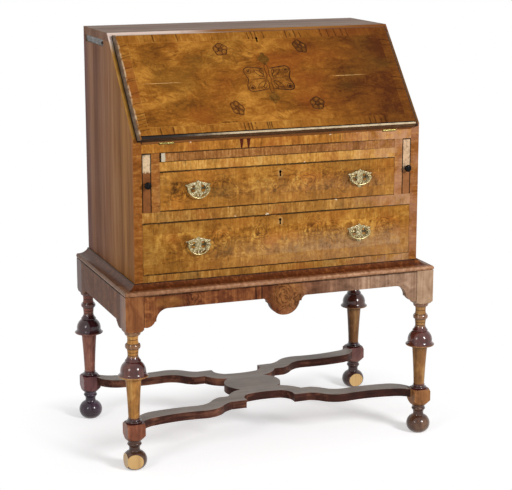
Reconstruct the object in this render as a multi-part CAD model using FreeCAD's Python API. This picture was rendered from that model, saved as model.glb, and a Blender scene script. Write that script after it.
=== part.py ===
import FreeCAD, Part
import math
import os

# Slope-front escritoire on a turned stand, in millimetres, +Z up.
# The origin is on the floor under the middle of the four legs, and +Y points to the back.

# Case
CASE_W = 760.0
CASE_D = 432.0
SLOPE_RUN = 207.0          # from the front face back to the edge of the flat top
SLOPE_RISE = 234.0         # from the end of the upright front to the flat top
SIDE_T = 22.0
TOP_T = 20.0
BACK_T = 11.0
BACK_BOARDS = 4
BOTTOM_T = 19.0
LOWER_OPEN_H = 129.0       # opening of the lower drawer
MID_RAIL_H = 27.0
UPPER_OPEN_H = 98.0        # opening of the upper drawer
SLIDE_RAIL_H = 24.0
SLIDE_OPEN_H = 22.0
RAIL_DEPTH = 58.0          # the deep front part of a dustboard
DUSTBOARD_T = 12.0
LOPER_SLOT_W = 24.0
DIVIDER_T = 21.0

# Fall and its hinges
FALL_T = 23.5
HINGE_DROP = 14.5          # hinge line below the start of the slope
HINGE_OUT = 0.5            # hinge line in front of the case
FALL_LAP = 13.2            # overlap of the lip on the side edges
TOP_MARGIN = 13.0          # bare slope between the lip and the top arris
LIP_W = 9.0                # moulded edge of the lip: a small step, then a round
LIP_STEP = 3.0
NOSING_H = 9.0             # reeded strip along the lower edge
NOSING_T = 17.0
REEDS = 3
HINGE_INSET = 63.0         # middle of a hinge from the inside of the case side
HINGE_L = 36.0
LEAF_W = 20.0
LEAF_T = 1.6
KNUCKLE_R = 3.0
HINGE_PIN_R = 1.3

# Running clearances
SIDE_GAP = 0.85
RUN_GAP = 0.3
FALL_GAP = 1.0             # each side of the fall
DRAWER_TOP_GAP = 2.0
DRAWER_FOOT_GAP = 1.2      # under a drawer front
LOPER_TOP_GAP = 1.2
SLIDE_TOP_GAP = 1.0
PIN_GAP = 0.06
KNUCKLE_GAP = 0.4
OVERCUT = 1.0              # how far a cut runs on past the faces it opens

# Drawers, lopers and slide
FRONT_T = 20.0
BOX_T = 10.0
BOX_BOTTOM_T = 7.0
BOX_DROP = 12.0            # box sides below the top of the drawer front
DRAWER_ROOM = 29.0         # behind a shut drawer
LOPER_ROOM = 91.0
SLIDE_ROOM = 49.0
SLIDE_T = 13.0
SLIDE_LIP_D = 16.0         # front strip that fills the slide's opening
SLIDE_CHIP = 4.0           # strip is short of the divider at its worn left end
KNOB_R = 9.0
KNOB_L = 17.0
KNOB_Z = 68.0              # knob above the bottom of the loper
PEG_R = 3.0
PEG_L = 14.0

# Locks and keyholes
LOCK_W = 56.0
LOCK_H = 34.0
LOCK_T = 10.0
LOCK_LAP = 8.0             # back plate beyond each end of the lock case
LOCK_PLATE_T = 2.0
LOCK_EDGE = 3.0            # lock below the top edge of its drawer front
KEYHOLE_R = 3.6
KEYHOLE_SLOT = 4.0
KEYHOLE_H = 15.5
UPPER_KEY_DROP = 16.5
LOWER_KEY_DROP = 13.0
FALL_KEY_DROP = 28.5

# Drawer handles
HANDLE_INSET = 97.0        # middle of a handle from the end of the upper drawer's bay
PLATE_T = 1.6
PLATE_W = 66.0
PLATE_UP = 17.5
PLATE_DOWN = 30.0
PLATE_WING_UP = 5.0        # wing tips above the pivot
PLATE_RIM = 3.2            # thickness of the wing tips
POST_X = 20.8
POST_REACH = 8.0
POST_HEAD_R = 3.5
POST_STEM_R = 2.6
POST_BASE_R = 4.0
POST_BASE_H = 1.1
BAIL_R = 2.0
BAIL_HALF_W = 27.0
LEFT_BAIL_DROP = 26.5
RIGHT_BAIL_DROP = 21.5     # the right pair hangs shorter
BAIL_BEND = 2.7
BAIL_SHOULDER_SHARE = 0.66 # radius of a bail's shoulder as a share of its drop
PIVOT_UP = 6.5             # handle pivot above the middle of the drawer front

# Nest of pigeonholes and small drawers
NEST_BEHIND = 7.0          # pigeonholes behind the edge of the flat top
NEST_T = 8.0
NEST_DRAWER_H = 66.0
PIGEONHOLES = 6
NEST_FRONT_T = 12.0
NEST_BOX_T = 6.0
NEST_ROOM = 17.0           # behind a shut small drawer
NEST_KNOB_R = 6.5
NEST_KNOB_L = 14.0

# Strap let into the left side
STRAP_L = 176.0
STRAP_H = 17.0
STRAP_T = 3.0
STRAP_DEPTH = 6.0
STRAP_BACKSET = 14.0       # from the back of the case
STUD_R = 4.0
STUD_SHANK = 2.0
STUD_IN = 12.0             # stud from the front end of the recess

# Stand moulding
OVERHANG = 35.0
MOULDING_H = 24.0
MOULDING_LEDGE = 20.0
NOSE_H = 11.5
NOSE_R = 4.0
BEAD_W = 4.0
BEAD_H = 1.6

# Legs and feet, from the floor up
BLOCK = 46.0
BLOCK_INSET = 1.0          # block behind the nose of the moulding
BLOCK_TURN_R = 26.0        # radius of the turned-off block ends
BLOCK_TURN_H = 8.0
BLOCK_FOOT_R = 22.0        # the lower block tapers more at its foot
BLOCK_FOOT_H = 13.0
FILLET_STEP = 1.5          # small square steps of the turning
FOOT_R = 31.0
FOOT_H = 47.0
FOOT_PAD_R = 16.0
FOOT_NECK_R = 13.5
FOOT_NECK_H = 31.0
FOOT_BEAD_R = 18.0
FOOT_BEAD_Z = 15.0         # bead above the ball
FOOT_BEAD_H = 6.0
FOOT_TOP_R = 20.5
FOOT_LOSS = 23.5           # bare flats of the worn feet from the axis
FRONT_FOOT_TURN = -12.0    # first flat of the front left foot, from the front
LOSS_APART = 76.0          # degrees between its two flats
DOWEL_R = 9.0
DOWEL_L = 25.0
DOWEL_GAP = 0.1
LOWER_BLOCK_H = 42.0
COLLAR_H = 11.0
COLLAR_R = 20.0
COLUMN_H = 108.0
COLUMN_FOOT_R = 14.0
COLUMN_HEAD_R = 20.5
COLUMN_HOLLOW = 0.8        # the column's sides are a little hollow
BELL_H = 38.0
BELL_R = 37.5              # at the brim
BELL_LIP_H = 4.0
BELL_BRIM_H = 10.0
DOME_R = 32.0
BELL_CROWN_R = 18.5
CUP_COLLAR_H = 15.0
NECK_R = 13.3
NECK_FLARE = 2.2
LOWER_NECK_H = 19.0
RING_H = 10.0
RING_R = 19.5
UPPER_NECK_H = 24.0
FILLET_H = 9.0
FILLET_R = 18.5
UPPER_BLOCK_H = 89.0

# Aprons
APRON_T = 20.0
APRON_H = 34.0
BRACKET_COVE = 31.0
BRACKET_STEP = 3.0
BRACKET_LOBE_W = 28.0
BRACKET_LOBE_H = 13.0
SIDE_APRON_H = 72.0        # the side aprons are deeper, with small brackets
SIDE_COVE = 5.0
SIDE_LOBE_W = 34.0
SIDE_LOBE_H = 9.5
DROP_LOBE_W = 40.0
DROP_LOBE_H = 33.0
DROP_SHOULDER_W = 20.0
DROP_SHOULDER_H = 13.0
DROP_STEP = 5.0

# Stretcher
STRETCHER_T = 22.0
STRETCHER_BELOW = 2.0      # top of the stretcher below the top of the lower block
LOBE_TIP = 76.0            # side lobes of the platform
CUSP = 50.0
EAR_JOINT = 102.0          # joint between platform and arm
EAR_INNER = 94.0
EAR_OUTER = 138.0
EAR_BACK = 67.0            # inner end of an ear
EAR_SIDE = 18.0
COVE_X = 30.0              # bulge of the run from a cusp to an ear
COVE_Y = 16.0
WAIST_Y = 87.0             # front and back edges of the platform
WAIST_CORNER = 22.0
WAIST_SAG = 5.0
ARM_IN = 6.5               # arm's outer edge inside the block's face
ARM_W = 42.0

# Levels and places that follow from the sizes
lower_block_z = FOOT_H + FOOT_NECK_H
collar_z = lower_block_z + LOWER_BLOCK_H
column_z = collar_z + COLLAR_H
bell_z = column_z + COLUMN_H
cup_collar_z = bell_z + BELL_H
lower_neck_z = cup_collar_z + CUP_COLLAR_H
ring_z = lower_neck_z + LOWER_NECK_H
upper_neck_z = ring_z + RING_H
fillet_z = upper_neck_z + UPPER_NECK_H
upper_block_z = fillet_z + FILLET_H
leg_top = upper_block_z + UPPER_BLOCK_H
stretcher_top = collar_z - STRETCHER_BELOW

case_base = leg_top + MOULDING_H
lower_floor = case_base + BOTTOM_T
lower_ceiling = lower_floor + LOWER_OPEN_H
upper_floor = lower_ceiling + MID_RAIL_H
upper_ceiling = upper_floor + UPPER_OPEN_H
slide_floor = upper_ceiling + SLIDE_RAIL_H
bed_base = slide_floor + SLIDE_OPEN_H
bed_top = bed_base + FALL_T
slope_z = bed_top + HINGE_DROP
top_z = slope_z + SLOPE_RISE
top_base = top_z - TOP_T

case_front = (OVERHANG - BLOCK_INSET - CASE_D) / 2
case_back = case_front + CASE_D
inner_back = case_back - BACK_T
half_w = CASE_W / 2
inner_w = half_w - SIDE_T
divider_out = inner_w - LOPER_SLOT_W
drawer_bay = divider_out - DIVIDER_T
loper_x = inner_w - LOPER_SLOT_W / 2
leg_x = half_w + OVERHANG - BLOCK_INSET - BLOCK / 2
leg_y = case_back - BLOCK / 2
block_x = leg_x - BLOCK / 2
block_y = leg_y - BLOCK / 2
hinge_x = inner_w - HINGE_INSET
handle_x = drawer_bay - HANDLE_INSET
drawer_back_y = inner_back - DRAWER_ROOM
loper_back_y = inner_back - LOPER_ROOM
slide_back_y = inner_back - SLIDE_ROOM
nest_back_y = inner_back - NEST_ROOM

slope = math.atan2(SLOPE_RISE, SLOPE_RUN)
slope_cos = math.cos(slope)
slope_sin = math.sin(slope)
slope_len = math.hypot(SLOPE_RUN, SLOPE_RISE)
hinge_u = -HINGE_OUT * slope_cos - HINGE_DROP * slope_sin
hinge_n = HINGE_OUT * slope_sin - HINGE_DROP * slope_cos
hinge_y = case_front - HINGE_OUT
fall_top_u = slope_len - TOP_MARGIN
fall_inner_u = slope_len - TOP_T / slope_sin - RUN_GAP
fall_face = hinge_n + FALL_T
fall_half_w = inner_w + FALL_LAP
nosing_half_w = fall_half_w - LIP_W
nest_front = case_front + SLOPE_RUN + NEST_BEHIND
nest_shelf_z = bed_top + NEST_DRAWER_H

X_AXIS = FreeCAD.Vector(1, 0, 0)
Y_AXIS = FreeCAD.Vector(0, 1, 0)
Z_AXIS = FreeCAD.Vector(0, 0, 1)


def save(name, *solids):
    shape = solids[0] if len(solids) == 1 else Part.makeCompound(list(solids))
    shape.exportStep("parts/" + name + ".step")


def box(x0, x1, y0, y1, z0, z1):
    corner = FreeCAD.Vector(min(x0, x1), min(y0, y1), min(z0, z1))
    return Part.makeBox(abs(x1 - x0), abs(y1 - y0), abs(z1 - z0), corner)


def mirror_x(shape):
    return shape.mirror(FreeCAD.Vector(0, 0, 0), X_AXIS)


def mirror_y(shape):
    return shape.mirror(FreeCAD.Vector(0, 0, 0), Y_AXIS)


def moved(shape, x, y, z):
    copy = shape.copy()
    copy.translate(FreeCAD.Vector(x, y, z))
    return copy


def is_arc(move):
    return isinstance(move[0], tuple)


def end_of(move):
    return move[1] if is_arc(move) else move


def edges_along(start, moves, place):
    """Edges from start: a move is an end point, or a middle and an end point for an arc."""
    edges = []
    here = start
    for move in moves:
        end = end_of(move)
        if is_arc(move):
            edges.append(Part.Arc(place(here), place(move[0]), place(end)).toShape())
        else:
            edges.append(Part.LineSegment(place(here), place(end)).toShape())
        here = end
    return edges


def mirrored_moves(start, moves):
    """The same run of moves seen in a mirror and walked backwards, and the point where it starts."""
    points = [start] + [end_of(move) for move in moves]
    back = []
    for index in range(len(moves) - 1, -1, -1):
        end = (-points[index][0], points[index][1])
        move = moves[index]
        if is_arc(move):
            back.append(((-move[0][0], move[0][1]), end))
        else:
            back.append(end)
    return (-points[-1][0], points[-1][1]), back


def face(plane, at, start, *moves):
    """Closed face of lines and arcs in the xy, xz or yz plane at the given height."""
    places = {
        "xy": lambda p: FreeCAD.Vector(p[0], p[1], at),
        "xz": lambda p: FreeCAD.Vector(p[0], at, p[1]),
        "yz": lambda p: FreeCAD.Vector(at, p[0], p[1]),
    }
    closing = moves if end_of(moves[-1]) == start else moves + (start,)
    return Part.Face(Part.Wire(edges_along(start, closing, places[plane])))


def turned(start, *moves):
    """Solid of revolution about Z from a profile of (radius, height) points."""
    profile = face("xz", 0.0, start, *moves)
    return profile.revolve(FreeCAD.Vector(0, 0, 0), Z_AXIS, 360)


def on_slope(shape):
    """Place what is drawn flat (x, up the slope, out of the slope) on the slope of the case."""
    placed = shape.copy()
    placed.rotate(FreeCAD.Vector(0, 0, 0), X_AXIS, math.degrees(slope))
    placed.translate(FreeCAD.Vector(0, case_front, slope_z))
    return placed


def rod(radius, length, base, direction):
    return Part.makeCylinder(radius, length, base, direction)


def keyhole(y0, y1, z):
    """Cutter for a keyhole along Y: a round eye with a slot below it."""
    eye = rod(KEYHOLE_R, y1 - y0, FreeCAD.Vector(0, y0, z), Y_AXIS)
    slot_end = z + KEYHOLE_R - KEYHOLE_H
    return eye.fuse(box(-KEYHOLE_SLOT / 2, KEYHOLE_SLOT / 2, y0, y1, slot_end, z))


# Feet and legs
def ball_foot():
    """Ball on a small pad, a hollow neck, a bead and a dowel into the leg."""
    bead_z = FOOT_H + FOOT_BEAD_Z
    bead_top = bead_z + FOOT_BEAD_H
    step_z = lower_block_z - FILLET_STEP
    return turned(
        (0, 0),
        (FOOT_PAD_R, 0),
        ((FOOT_R, FOOT_H * 0.52), (FOOT_NECK_R + FILLET_STEP, FOOT_H)),
        ((FOOT_NECK_R, (FOOT_H + bead_z) / 2), (FOOT_BEAD_R - FILLET_STEP, bead_z)),
        ((FOOT_BEAD_R, (bead_z + bead_top) / 2), (FOOT_BEAD_R - FILLET_STEP, bead_top)),
        ((FOOT_BEAD_R - FILLET_STEP, (bead_top + step_z) / 2), (FOOT_TOP_R, step_z)),
        (FOOT_TOP_R, lower_block_z),
        (DOWEL_R, lower_block_z),
        (DOWEL_R, lower_block_z + DOWEL_L),
        (0, lower_block_z + DOWEL_L),
    )


def foot_loss(degrees):
    """What is missing from a ball beyond a bare flat, turned from the front towards the right."""
    cheek = box(-FOOT_R, FOOT_R, -2 * FOOT_R, -FOOT_LOSS, 0, FOOT_H)
    cheek.rotate(FreeCAD.Vector(0, 0, 0), Z_AXIS, degrees)
    return cheek


def square_block(z0, z1, foot_r, foot_h, turn_top):
    """Square of the leg with its ends turned off on the lathe."""
    corner_r = BLOCK * 0.75
    top_r = BLOCK_TURN_R if turn_top else corner_r
    limit = turned(
        (0, z0),
        (foot_r, z0),
        (corner_r, z0 + foot_h),
        (corner_r, z1 - BLOCK_TURN_H),
        (top_r, z1),
        (0, z1),
    )
    half = BLOCK / 2
    return box(-half, half, -half, half, z0, z1).common(limit)


def leg():
    lip_z = bell_z + BELL_LIP_H
    brim_z = bell_z + BELL_BRIM_H
    under_z = bell_z + 2 * FILLET_STEP
    column_foot_z = column_z + FILLET_STEP
    column_mid_r = (COLUMN_FOOT_R + COLUMN_HEAD_R) / 2 - COLUMN_HOLLOW
    dome_mid_r = DOME_R - (DOME_R - BELL_CROWN_R) * 0.2
    cup_r = BELL_CROWN_R + FILLET_STEP
    cup_z = cup_collar_z + 2 * FILLET_STEP
    flare_r = NECK_R + NECK_FLARE
    spindle = turned(
        (0, collar_z),
        (COLLAR_R - FILLET_STEP, collar_z),
        ((COLLAR_R, collar_z + COLLAR_H * 0.25), (COLLAR_R - FILLET_STEP, collar_z + COLLAR_H * 0.5)),
        ((COLUMN_FOOT_R + FILLET_STEP, collar_z + COLLAR_H * 0.65), (COLUMN_FOOT_R + FILLET_STEP, column_z)),
        (COLUMN_FOOT_R, column_foot_z),
        ((column_mid_r, (column_foot_z + under_z) / 2), (COLUMN_HEAD_R, under_z)),
        (BELL_R - 2 * FILLET_STEP, under_z),
        (BELL_R - FILLET_STEP, bell_z),
        ((BELL_R, bell_z + BELL_LIP_H / 2), (BELL_R - FILLET_STEP, lip_z)),
        ((DOME_R + FILLET_STEP, (lip_z + brim_z) / 2), (DOME_R, brim_z)),
        ((dome_mid_r, brim_z + (cup_collar_z - brim_z) * 0.57), (BELL_CROWN_R, cup_collar_z)),
        (cup_r, cup_collar_z + FILLET_STEP),
        (cup_r, cup_z),
        ((NECK_R + NECK_FLARE, (cup_z + lower_neck_z) / 2), (NECK_R, lower_neck_z)),
        ((NECK_R + NECK_FLARE * 0.2, (lower_neck_z + ring_z) / 2), (flare_r, ring_z)),
        (RING_R - FILLET_STEP, ring_z),
        ((RING_R, ring_z + RING_H / 2), (RING_R - FILLET_STEP, upper_neck_z)),
        (flare_r, upper_neck_z),
        ((NECK_R, (upper_neck_z + fillet_z) / 2), (flare_r, fillet_z)),
        (FILLET_R, fillet_z),
        ((FILLET_R + FILLET_STEP, fillet_z + FILLET_H / 2), (FILLET_R, upper_block_z)),
        (0, upper_block_z),
    )
    lower = square_block(lower_block_z, collar_z, BLOCK_FOOT_R, BLOCK_FOOT_H, True)
    upper = square_block(upper_block_z, leg_top, BLOCK_TURN_R, BLOCK_TURN_H, False)
    socket = rod(DOWEL_R + DOWEL_GAP, DOWEL_L, FreeCAD.Vector(0, 0, lower_block_z), Z_AXIS)
    return lower.fuse([spindle, upper]).cut(socket).removeSplitter()


def stand_corners():
    for side, x in (("left", -leg_x), ("right", leg_x)):
        for end, y in (("front", -leg_y), ("back", leg_y)):
            yield end + "_" + side, x, y


# Stretcher
def stretcher_platform():
    """Platform with a round lobe at each side and a pair of square ears at the front and the back."""
    ear_root = EAR_OUTER - EAR_SIDE
    waist_x = EAR_BACK - WAIST_CORNER
    corner = (EAR_BACK - WAIST_CORNER * 0.35, (ear_root + WAIST_Y) / 2)
    right = [
        ((waist_x / 2, WAIST_Y + WAIST_SAG / 4), (waist_x, WAIST_Y + WAIST_SAG)),
        (corner, (EAR_BACK, ear_root)),
        (EAR_BACK, EAR_OUTER),
        (EAR_JOINT, EAR_OUTER),
        (EAR_JOINT, EAR_INNER),
        ((CUSP + COVE_X, CUSP + COVE_Y), (CUSP, CUSP)),
        ((LOBE_TIP, 0.0), (CUSP, -CUSP)),
        ((CUSP + COVE_X, -CUSP - COVE_Y), (EAR_JOINT, -EAR_INNER)),
        (EAR_JOINT, -EAR_OUTER),
        (EAR_BACK, -EAR_OUTER),
        (EAR_BACK, -ear_root),
        ((corner[0], -corner[1]), (waist_x, -WAIST_Y - WAIST_SAG)),
        ((waist_x / 2, -WAIST_Y - WAIST_SAG / 4), (0.0, -WAIST_Y)),
    ]
    top = (0.0, WAIST_Y)
    bottom, left = mirrored_moves(top, right)
    outline = face("xy", stretcher_top - STRETCHER_T, top, *(right + left))
    return outline.extrude(Z_AXIS * STRETCHER_T)


def stretcher_arm():
    """Serpentine arm from an ear of the platform to the inner corner of a back right leg block."""
    outer = block_y - ARM_IN
    inner = outer - ARM_W
    rise = outer - EAR_OUTER
    dip = ARM_W * 0.12

    def along(share):
        return EAR_JOINT + share * (block_x - EAR_JOINT)

    outline = face(
        "xy", stretcher_top - STRETCHER_T,
        (EAR_JOINT, EAR_OUTER),
        (along(0.023), EAR_OUTER),
        ((along(0.083), EAR_OUTER + rise * 0.19), (along(0.143), EAR_OUTER + rise * 0.54)),
        ((along(0.226), outer - dip), (along(0.346), outer)),
        ((along(0.592), outer - dip * 0.7), (along(0.838), outer + dip)),
        ((along(0.925), outer + ARM_W * 0.29), (block_x, block_y + ARM_W / 2)),
        (block_x, block_y),
        (along(1.034), block_y),
        ((along(0.947), inner + ARM_W * 0.36), (along(0.82), inner + dip * 0.4)),
        ((along(0.602), inner - dip * 0.5), (along(0.383), inner)),
        ((along(0.286), inner - dip), (along(0.21), EAR_INNER + rise * 0.57)),
        ((along(0.158), EAR_INNER + rise * 0.23), (along(0.098), EAR_INNER)),
        (EAR_JOINT, EAR_INNER),
    )
    return outline.extrude(Z_AXIS * STRETCHER_T)


# Aprons and moulding of the stand
def bracket_moves(end, bottom, cove, lobe_w, lobe_h):
    """Lower edge from the straight run out to a leg block: a cove, a step and a lobe."""
    start = end - lobe_w - BRACKET_STEP - cove
    cove_end = start + cove
    cove_low = bottom - cove
    diagonal = cove * math.sqrt(0.5)
    lobe_mid = (end - lobe_w * 0.68, cove_low - lobe_h * 0.8)
    return [
        (start, bottom),
        ((start + diagonal, cove_low + diagonal), (cove_end, cove_low)),
        (cove_end + BRACKET_STEP, cove_low),
        (lobe_mid, (end, cove_low - lobe_h)),
    ]


def drop_moves(bottom):
    """Right half of the drop in the middle of the front apron, from its tip out to the straight run."""
    shoulder_z = bottom - DROP_SHOULDER_H
    tip_z = shoulder_z - DROP_LOBE_H
    step_x = DROP_LOBE_W + DROP_STEP
    ogee_mid = (step_x + DROP_SHOULDER_W * 0.2, bottom - DROP_SHOULDER_H * 0.3)
    return [
        ((DROP_LOBE_W * 0.74, tip_z + DROP_LOBE_H * 0.36), (DROP_LOBE_W, shoulder_z)),
        (step_x, shoulder_z),
        (ogee_mid, (DROP_LOBE_W + DROP_SHOULDER_W, bottom)),
    ]


def apron_board(half, middle, moves):
    """Board between two leg blocks, seen from the front, whose lower edge is the same to either side."""
    left_start, left_moves = mirrored_moves(middle, moves)
    outline = left_moves + moves + [(half, leg_top), (-half, leg_top), left_start]
    return face("xz", 0.0, left_start, *outline).extrude(Y_AXIS * APRON_T)


def front_apron():
    bottom = leg_top - APRON_H
    tip = (0.0, bottom - DROP_SHOULDER_H - DROP_LOBE_H)
    bracket = bracket_moves(block_x, bottom, BRACKET_COVE, BRACKET_LOBE_W, BRACKET_LOBE_H)
    board = apron_board(block_x, tip, drop_moves(bottom) + bracket)
    return moved(board, 0, -leg_y - BLOCK / 2, 0)


def side_apron():
    """Right apron, turned to run from front to back."""
    bottom = leg_top - SIDE_APRON_H
    bracket = bracket_moves(block_y, bottom, SIDE_COVE, SIDE_LOBE_W, SIDE_LOBE_H)
    board = apron_board(block_y, (0.0, bottom), bracket)
    board.rotate(FreeCAD.Vector(0, 0, 0), Z_AXIS, 90)
    return moved(board, leg_x + BLOCK / 2, 0, 0)


def back_rail():
    """Plain rail between the back legs, with an upper part between the runs of the moulding."""
    y1 = leg_y + BLOCK / 2
    y0 = y1 - APRON_T
    ledge = half_w - MOULDING_LEDGE
    lower = box(-block_x, block_x, y0, y1, leg_top - APRON_H, leg_top)
    return lower.fuse(box(-ledge, ledge, y0, y1, leg_top, case_base)).removeSplitter()


def moulding_section(place):
    """Section of the stand moulding, from the ledge under the case out to the nose."""
    nose_top = leg_top + NOSE_H
    nose_in = OVERHANG - NOSE_R
    cavetto_mid = (OVERHANG * 0.45, nose_top + MOULDING_H * 0.09)
    moves = [
        (nose_in, leg_top),
        ((OVERHANG, leg_top + NOSE_H / 2), (nose_in, nose_top)),
        (cavetto_mid, (BEAD_W, case_base - BEAD_H)),
        (BEAD_W, case_base),
        ((BEAD_W / 2, case_base + BEAD_H), (0, case_base)),
        (-MOULDING_LEDGE, case_base),
        (-MOULDING_LEDGE, leg_top),
    ]
    return Part.Face(Part.Wire(edges_along((-MOULDING_LEDGE, leg_top), moves, place)))


def moulding_front():
    half = half_w + OVERHANG
    section = moulding_section(lambda p: FreeCAD.Vector(-half, case_front - p[0], p[1]))
    strip = section.extrude(X_AXIS * (2 * half))
    back_edge = box(-half, half, case_front, case_back, leg_top - OVERCUT, case_base + BEAD_H + OVERCUT)
    inner = half_w - MOULDING_LEDGE
    ledge = box(-inner, inner, case_front, case_front + MOULDING_LEDGE, leg_top, case_base)
    nose = strip.cut(back_edge).cut(corner_block(1)).cut(corner_block(-1))
    return nose.fuse(ledge).removeSplitter()


def corner_block(sign):
    """What lies beyond the diagonal of a front corner, on the side run's part of the mitre."""
    far = half_w + 2 * OVERHANG
    prism = face(
        "xy", leg_top - OVERCUT,
        (half_w, case_front),
        (far, case_front - 2 * OVERHANG),
        (far, case_front),
    ).extrude(Z_AXIS * (MOULDING_H + BEAD_H + 2 * OVERCUT))
    return prism if sign > 0 else mirror_x(prism)


def moulding_side():
    """Right run of the moulding, mitred at the front and square at the back."""
    far_front = case_front - OVERHANG
    section = moulding_section(lambda p: FreeCAD.Vector(half_w + p[0], far_front, p[1]))
    strip = section.extrude(Y_AXIS * (CASE_D + OVERHANG))
    far = half_w + OVERHANG
    front_part = face(
        "xy", leg_top - OVERCUT,
        (half_w - MOULDING_LEDGE, case_front),
        (half_w, case_front),
        (far + OVERCUT, case_front - OVERHANG - OVERCUT),
        (half_w - MOULDING_LEDGE, case_front - OVERHANG - OVERCUT),
    ).extrude(Z_AXIS * (MOULDING_H + BEAD_H + 2 * OVERCUT))
    return strip.cut(front_part)


# Case
def strap_recess(depth):
    """Slot with round ends in the left side, just below the top board."""
    y1 = case_back - STRAP_BACKSET
    y0 = y1 - STRAP_L
    z1 = top_base
    z0 = z1 - STRAP_H
    r = STRAP_H / 2
    mid_z = (z0 + z1) / 2
    outline = face(
        "yz", -half_w,
        (y0 + r, z0),
        (y1 - r, z0),
        ((y1, mid_z), (y1 - r, z1)),
        (y0 + r, z1),
        ((y0, mid_z), (y0 + r, z0)),
    )
    return outline.extrude(X_AXIS * depth)


def side_board():
    """Right side: upright front edge, then the slope up to the underside of the top."""
    run_at_top = (top_base - slope_z) / math.tan(slope)
    outline = face(
        "yz", inner_w,
        (case_front, case_base),
        (case_back, case_base),
        (case_back, top_base),
        (case_front + run_at_top, top_base),
        (case_front, slope_z),
    )
    return outline.extrude(X_AXIS * SIDE_T)


def side_strap():
    return moved(strap_recess(STRAP_T), STRAP_DEPTH - STRAP_T, 0, 0)


def strap_stud():
    y = case_back - STRAP_BACKSET - STRAP_L + STUD_IN
    z = top_base - STRAP_H / 2
    x = -half_w + STRAP_DEPTH - STRAP_T
    shank = rod(STUD_R * 0.7, STUD_SHANK, FreeCAD.Vector(x, y, z), X_AXIS * -1)
    head = Part.makeSphere(STUD_R, FreeCAD.Vector(x - STUD_SHANK, y, z))
    keep = box(x - STUD_SHANK - STUD_R, x - STUD_SHANK / 2, y - STUD_R, y + STUD_R, z - STUD_R, z + STUD_R)
    return shank.fuse(head.common(keep)).removeSplitter()


def top_board():
    run_at_base = (top_base - slope_z) / math.tan(slope)
    outline = face(
        "yz", -half_w,
        (case_front + run_at_base, top_base),
        (case_back, top_base),
        (case_back, top_z),
        (case_front + SLOPE_RUN, top_z),
    )
    return outline.extrude(X_AXIS * CASE_W)


def back_boards():
    pitch = 2 * inner_w / BACK_BOARDS
    boards = []
    for index in range(BACK_BOARDS):
        x0 = -inner_w + index * pitch
        boards.append(box(x0, x0 + pitch, inner_back, case_back, case_base, top_base))
    return boards


def dustboard(half, z0, z1):
    """Board with a deep rail at the front, flush on top."""
    rail = box(-half, half, case_front, case_front + RAIL_DEPTH, z0, z1)
    sheet = box(-half, half, case_front, inner_back, z1 - DUSTBOARD_T, z1)
    return rail.fuse(sheet).removeSplitter()


def hinge_clearance():
    """Cylinders about the hinge line that free the knuckles."""
    cutters = []
    for x in (-hinge_x, hinge_x):
        base = FreeCAD.Vector(x - HINGE_L / 2 - KNUCKLE_GAP, hinge_y, bed_top)
        cutters.append(rod(KNUCKLE_R + KNUCKLE_GAP, HINGE_L + 2 * KNUCKLE_GAP, base, X_AXIS))
    return cutters


def bed_leaf_blank(x, thickness):
    x0 = x - HINGE_L / 2
    return box(x0, x0 + HINGE_L, hinge_y, hinge_y + LEAF_W, bed_top - thickness, bed_top)


def bed_board():
    board = box(-inner_w, inner_w, case_front, inner_back, bed_base, bed_top)
    seats = [bed_leaf_blank(x, LEAF_T) for x in (-hinge_x, hinge_x)]
    return board.cut(hinge_clearance() + seats)


def bed_hinge_leaf(x):
    """Leaf let into the bed, with the middle knuckle and the pin."""
    third = HINGE_L / 3
    leaf = bed_leaf_blank(x, LEAF_T)
    start = FreeCAD.Vector(x - HINGE_L / 2, hinge_y, bed_top)
    room = rod(KNUCKLE_R + KNUCKLE_GAP, HINGE_L, start, X_AXIS)
    knuckle_base = FreeCAD.Vector(x - third / 2, hinge_y, bed_top)
    knuckle = rod(KNUCKLE_R, third, knuckle_base, X_AXIS)
    neck = box(x - third / 2, x + third / 2, hinge_y, hinge_y + LEAF_W / 2, bed_top - LEAF_T, bed_top)
    pin = rod(HINGE_PIN_R, HINGE_L, start, X_AXIS)
    return leaf.cut(room).fuse([neck, knuckle, pin]).removeSplitter()


# Fall
def flat_leaf_blank(x, thickness):
    """Leaf seat in the inner face of the fall, drawn flat."""
    x0 = x - HINGE_L / 2
    return box(x0, x0 + HINGE_L, hinge_u, hinge_u + LEAF_W, hinge_n, hinge_n + thickness)


def flat_hinge_rods(radius, extra):
    rods = []
    for x in (-hinge_x, hinge_x):
        base = FreeCAD.Vector(x - HINGE_L / 2 - extra, hinge_u, hinge_n)
        rods.append(rod(radius, HINGE_L + 2 * extra, base, X_AXIS))
    return rods


def fall_lip():
    """Outer layer of the fall, drawn flat, with a moulded edge along both ends and the top."""
    step_n = RUN_GAP + LIP_STEP
    round_n = step_n + (fall_face - step_n) * math.sqrt(0.5)
    round_in = LIP_W * (1 - math.sqrt(0.5))
    end_moves = [
        (fall_half_w, RUN_GAP),
        (fall_half_w, step_n),
        ((fall_half_w - round_in, round_n), (nosing_half_w, fall_face)),
    ]
    start, left_moves = mirrored_moves((0.0, RUN_GAP), end_moves)
    across = face("xz", hinge_u, start, *(left_moves + end_moves))
    up = face(
        "yz", -fall_half_w,
        (hinge_u, RUN_GAP),
        (fall_top_u, RUN_GAP),
        (fall_top_u, step_n),
        ((fall_top_u - round_in, round_n), (fall_top_u - LIP_W, fall_face)),
        (hinge_u, fall_face),
    )
    return across.extrude(Y_AXIS * (fall_top_u - hinge_u)).common(up.extrude(X_AXIS * (2 * fall_half_w)))


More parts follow.
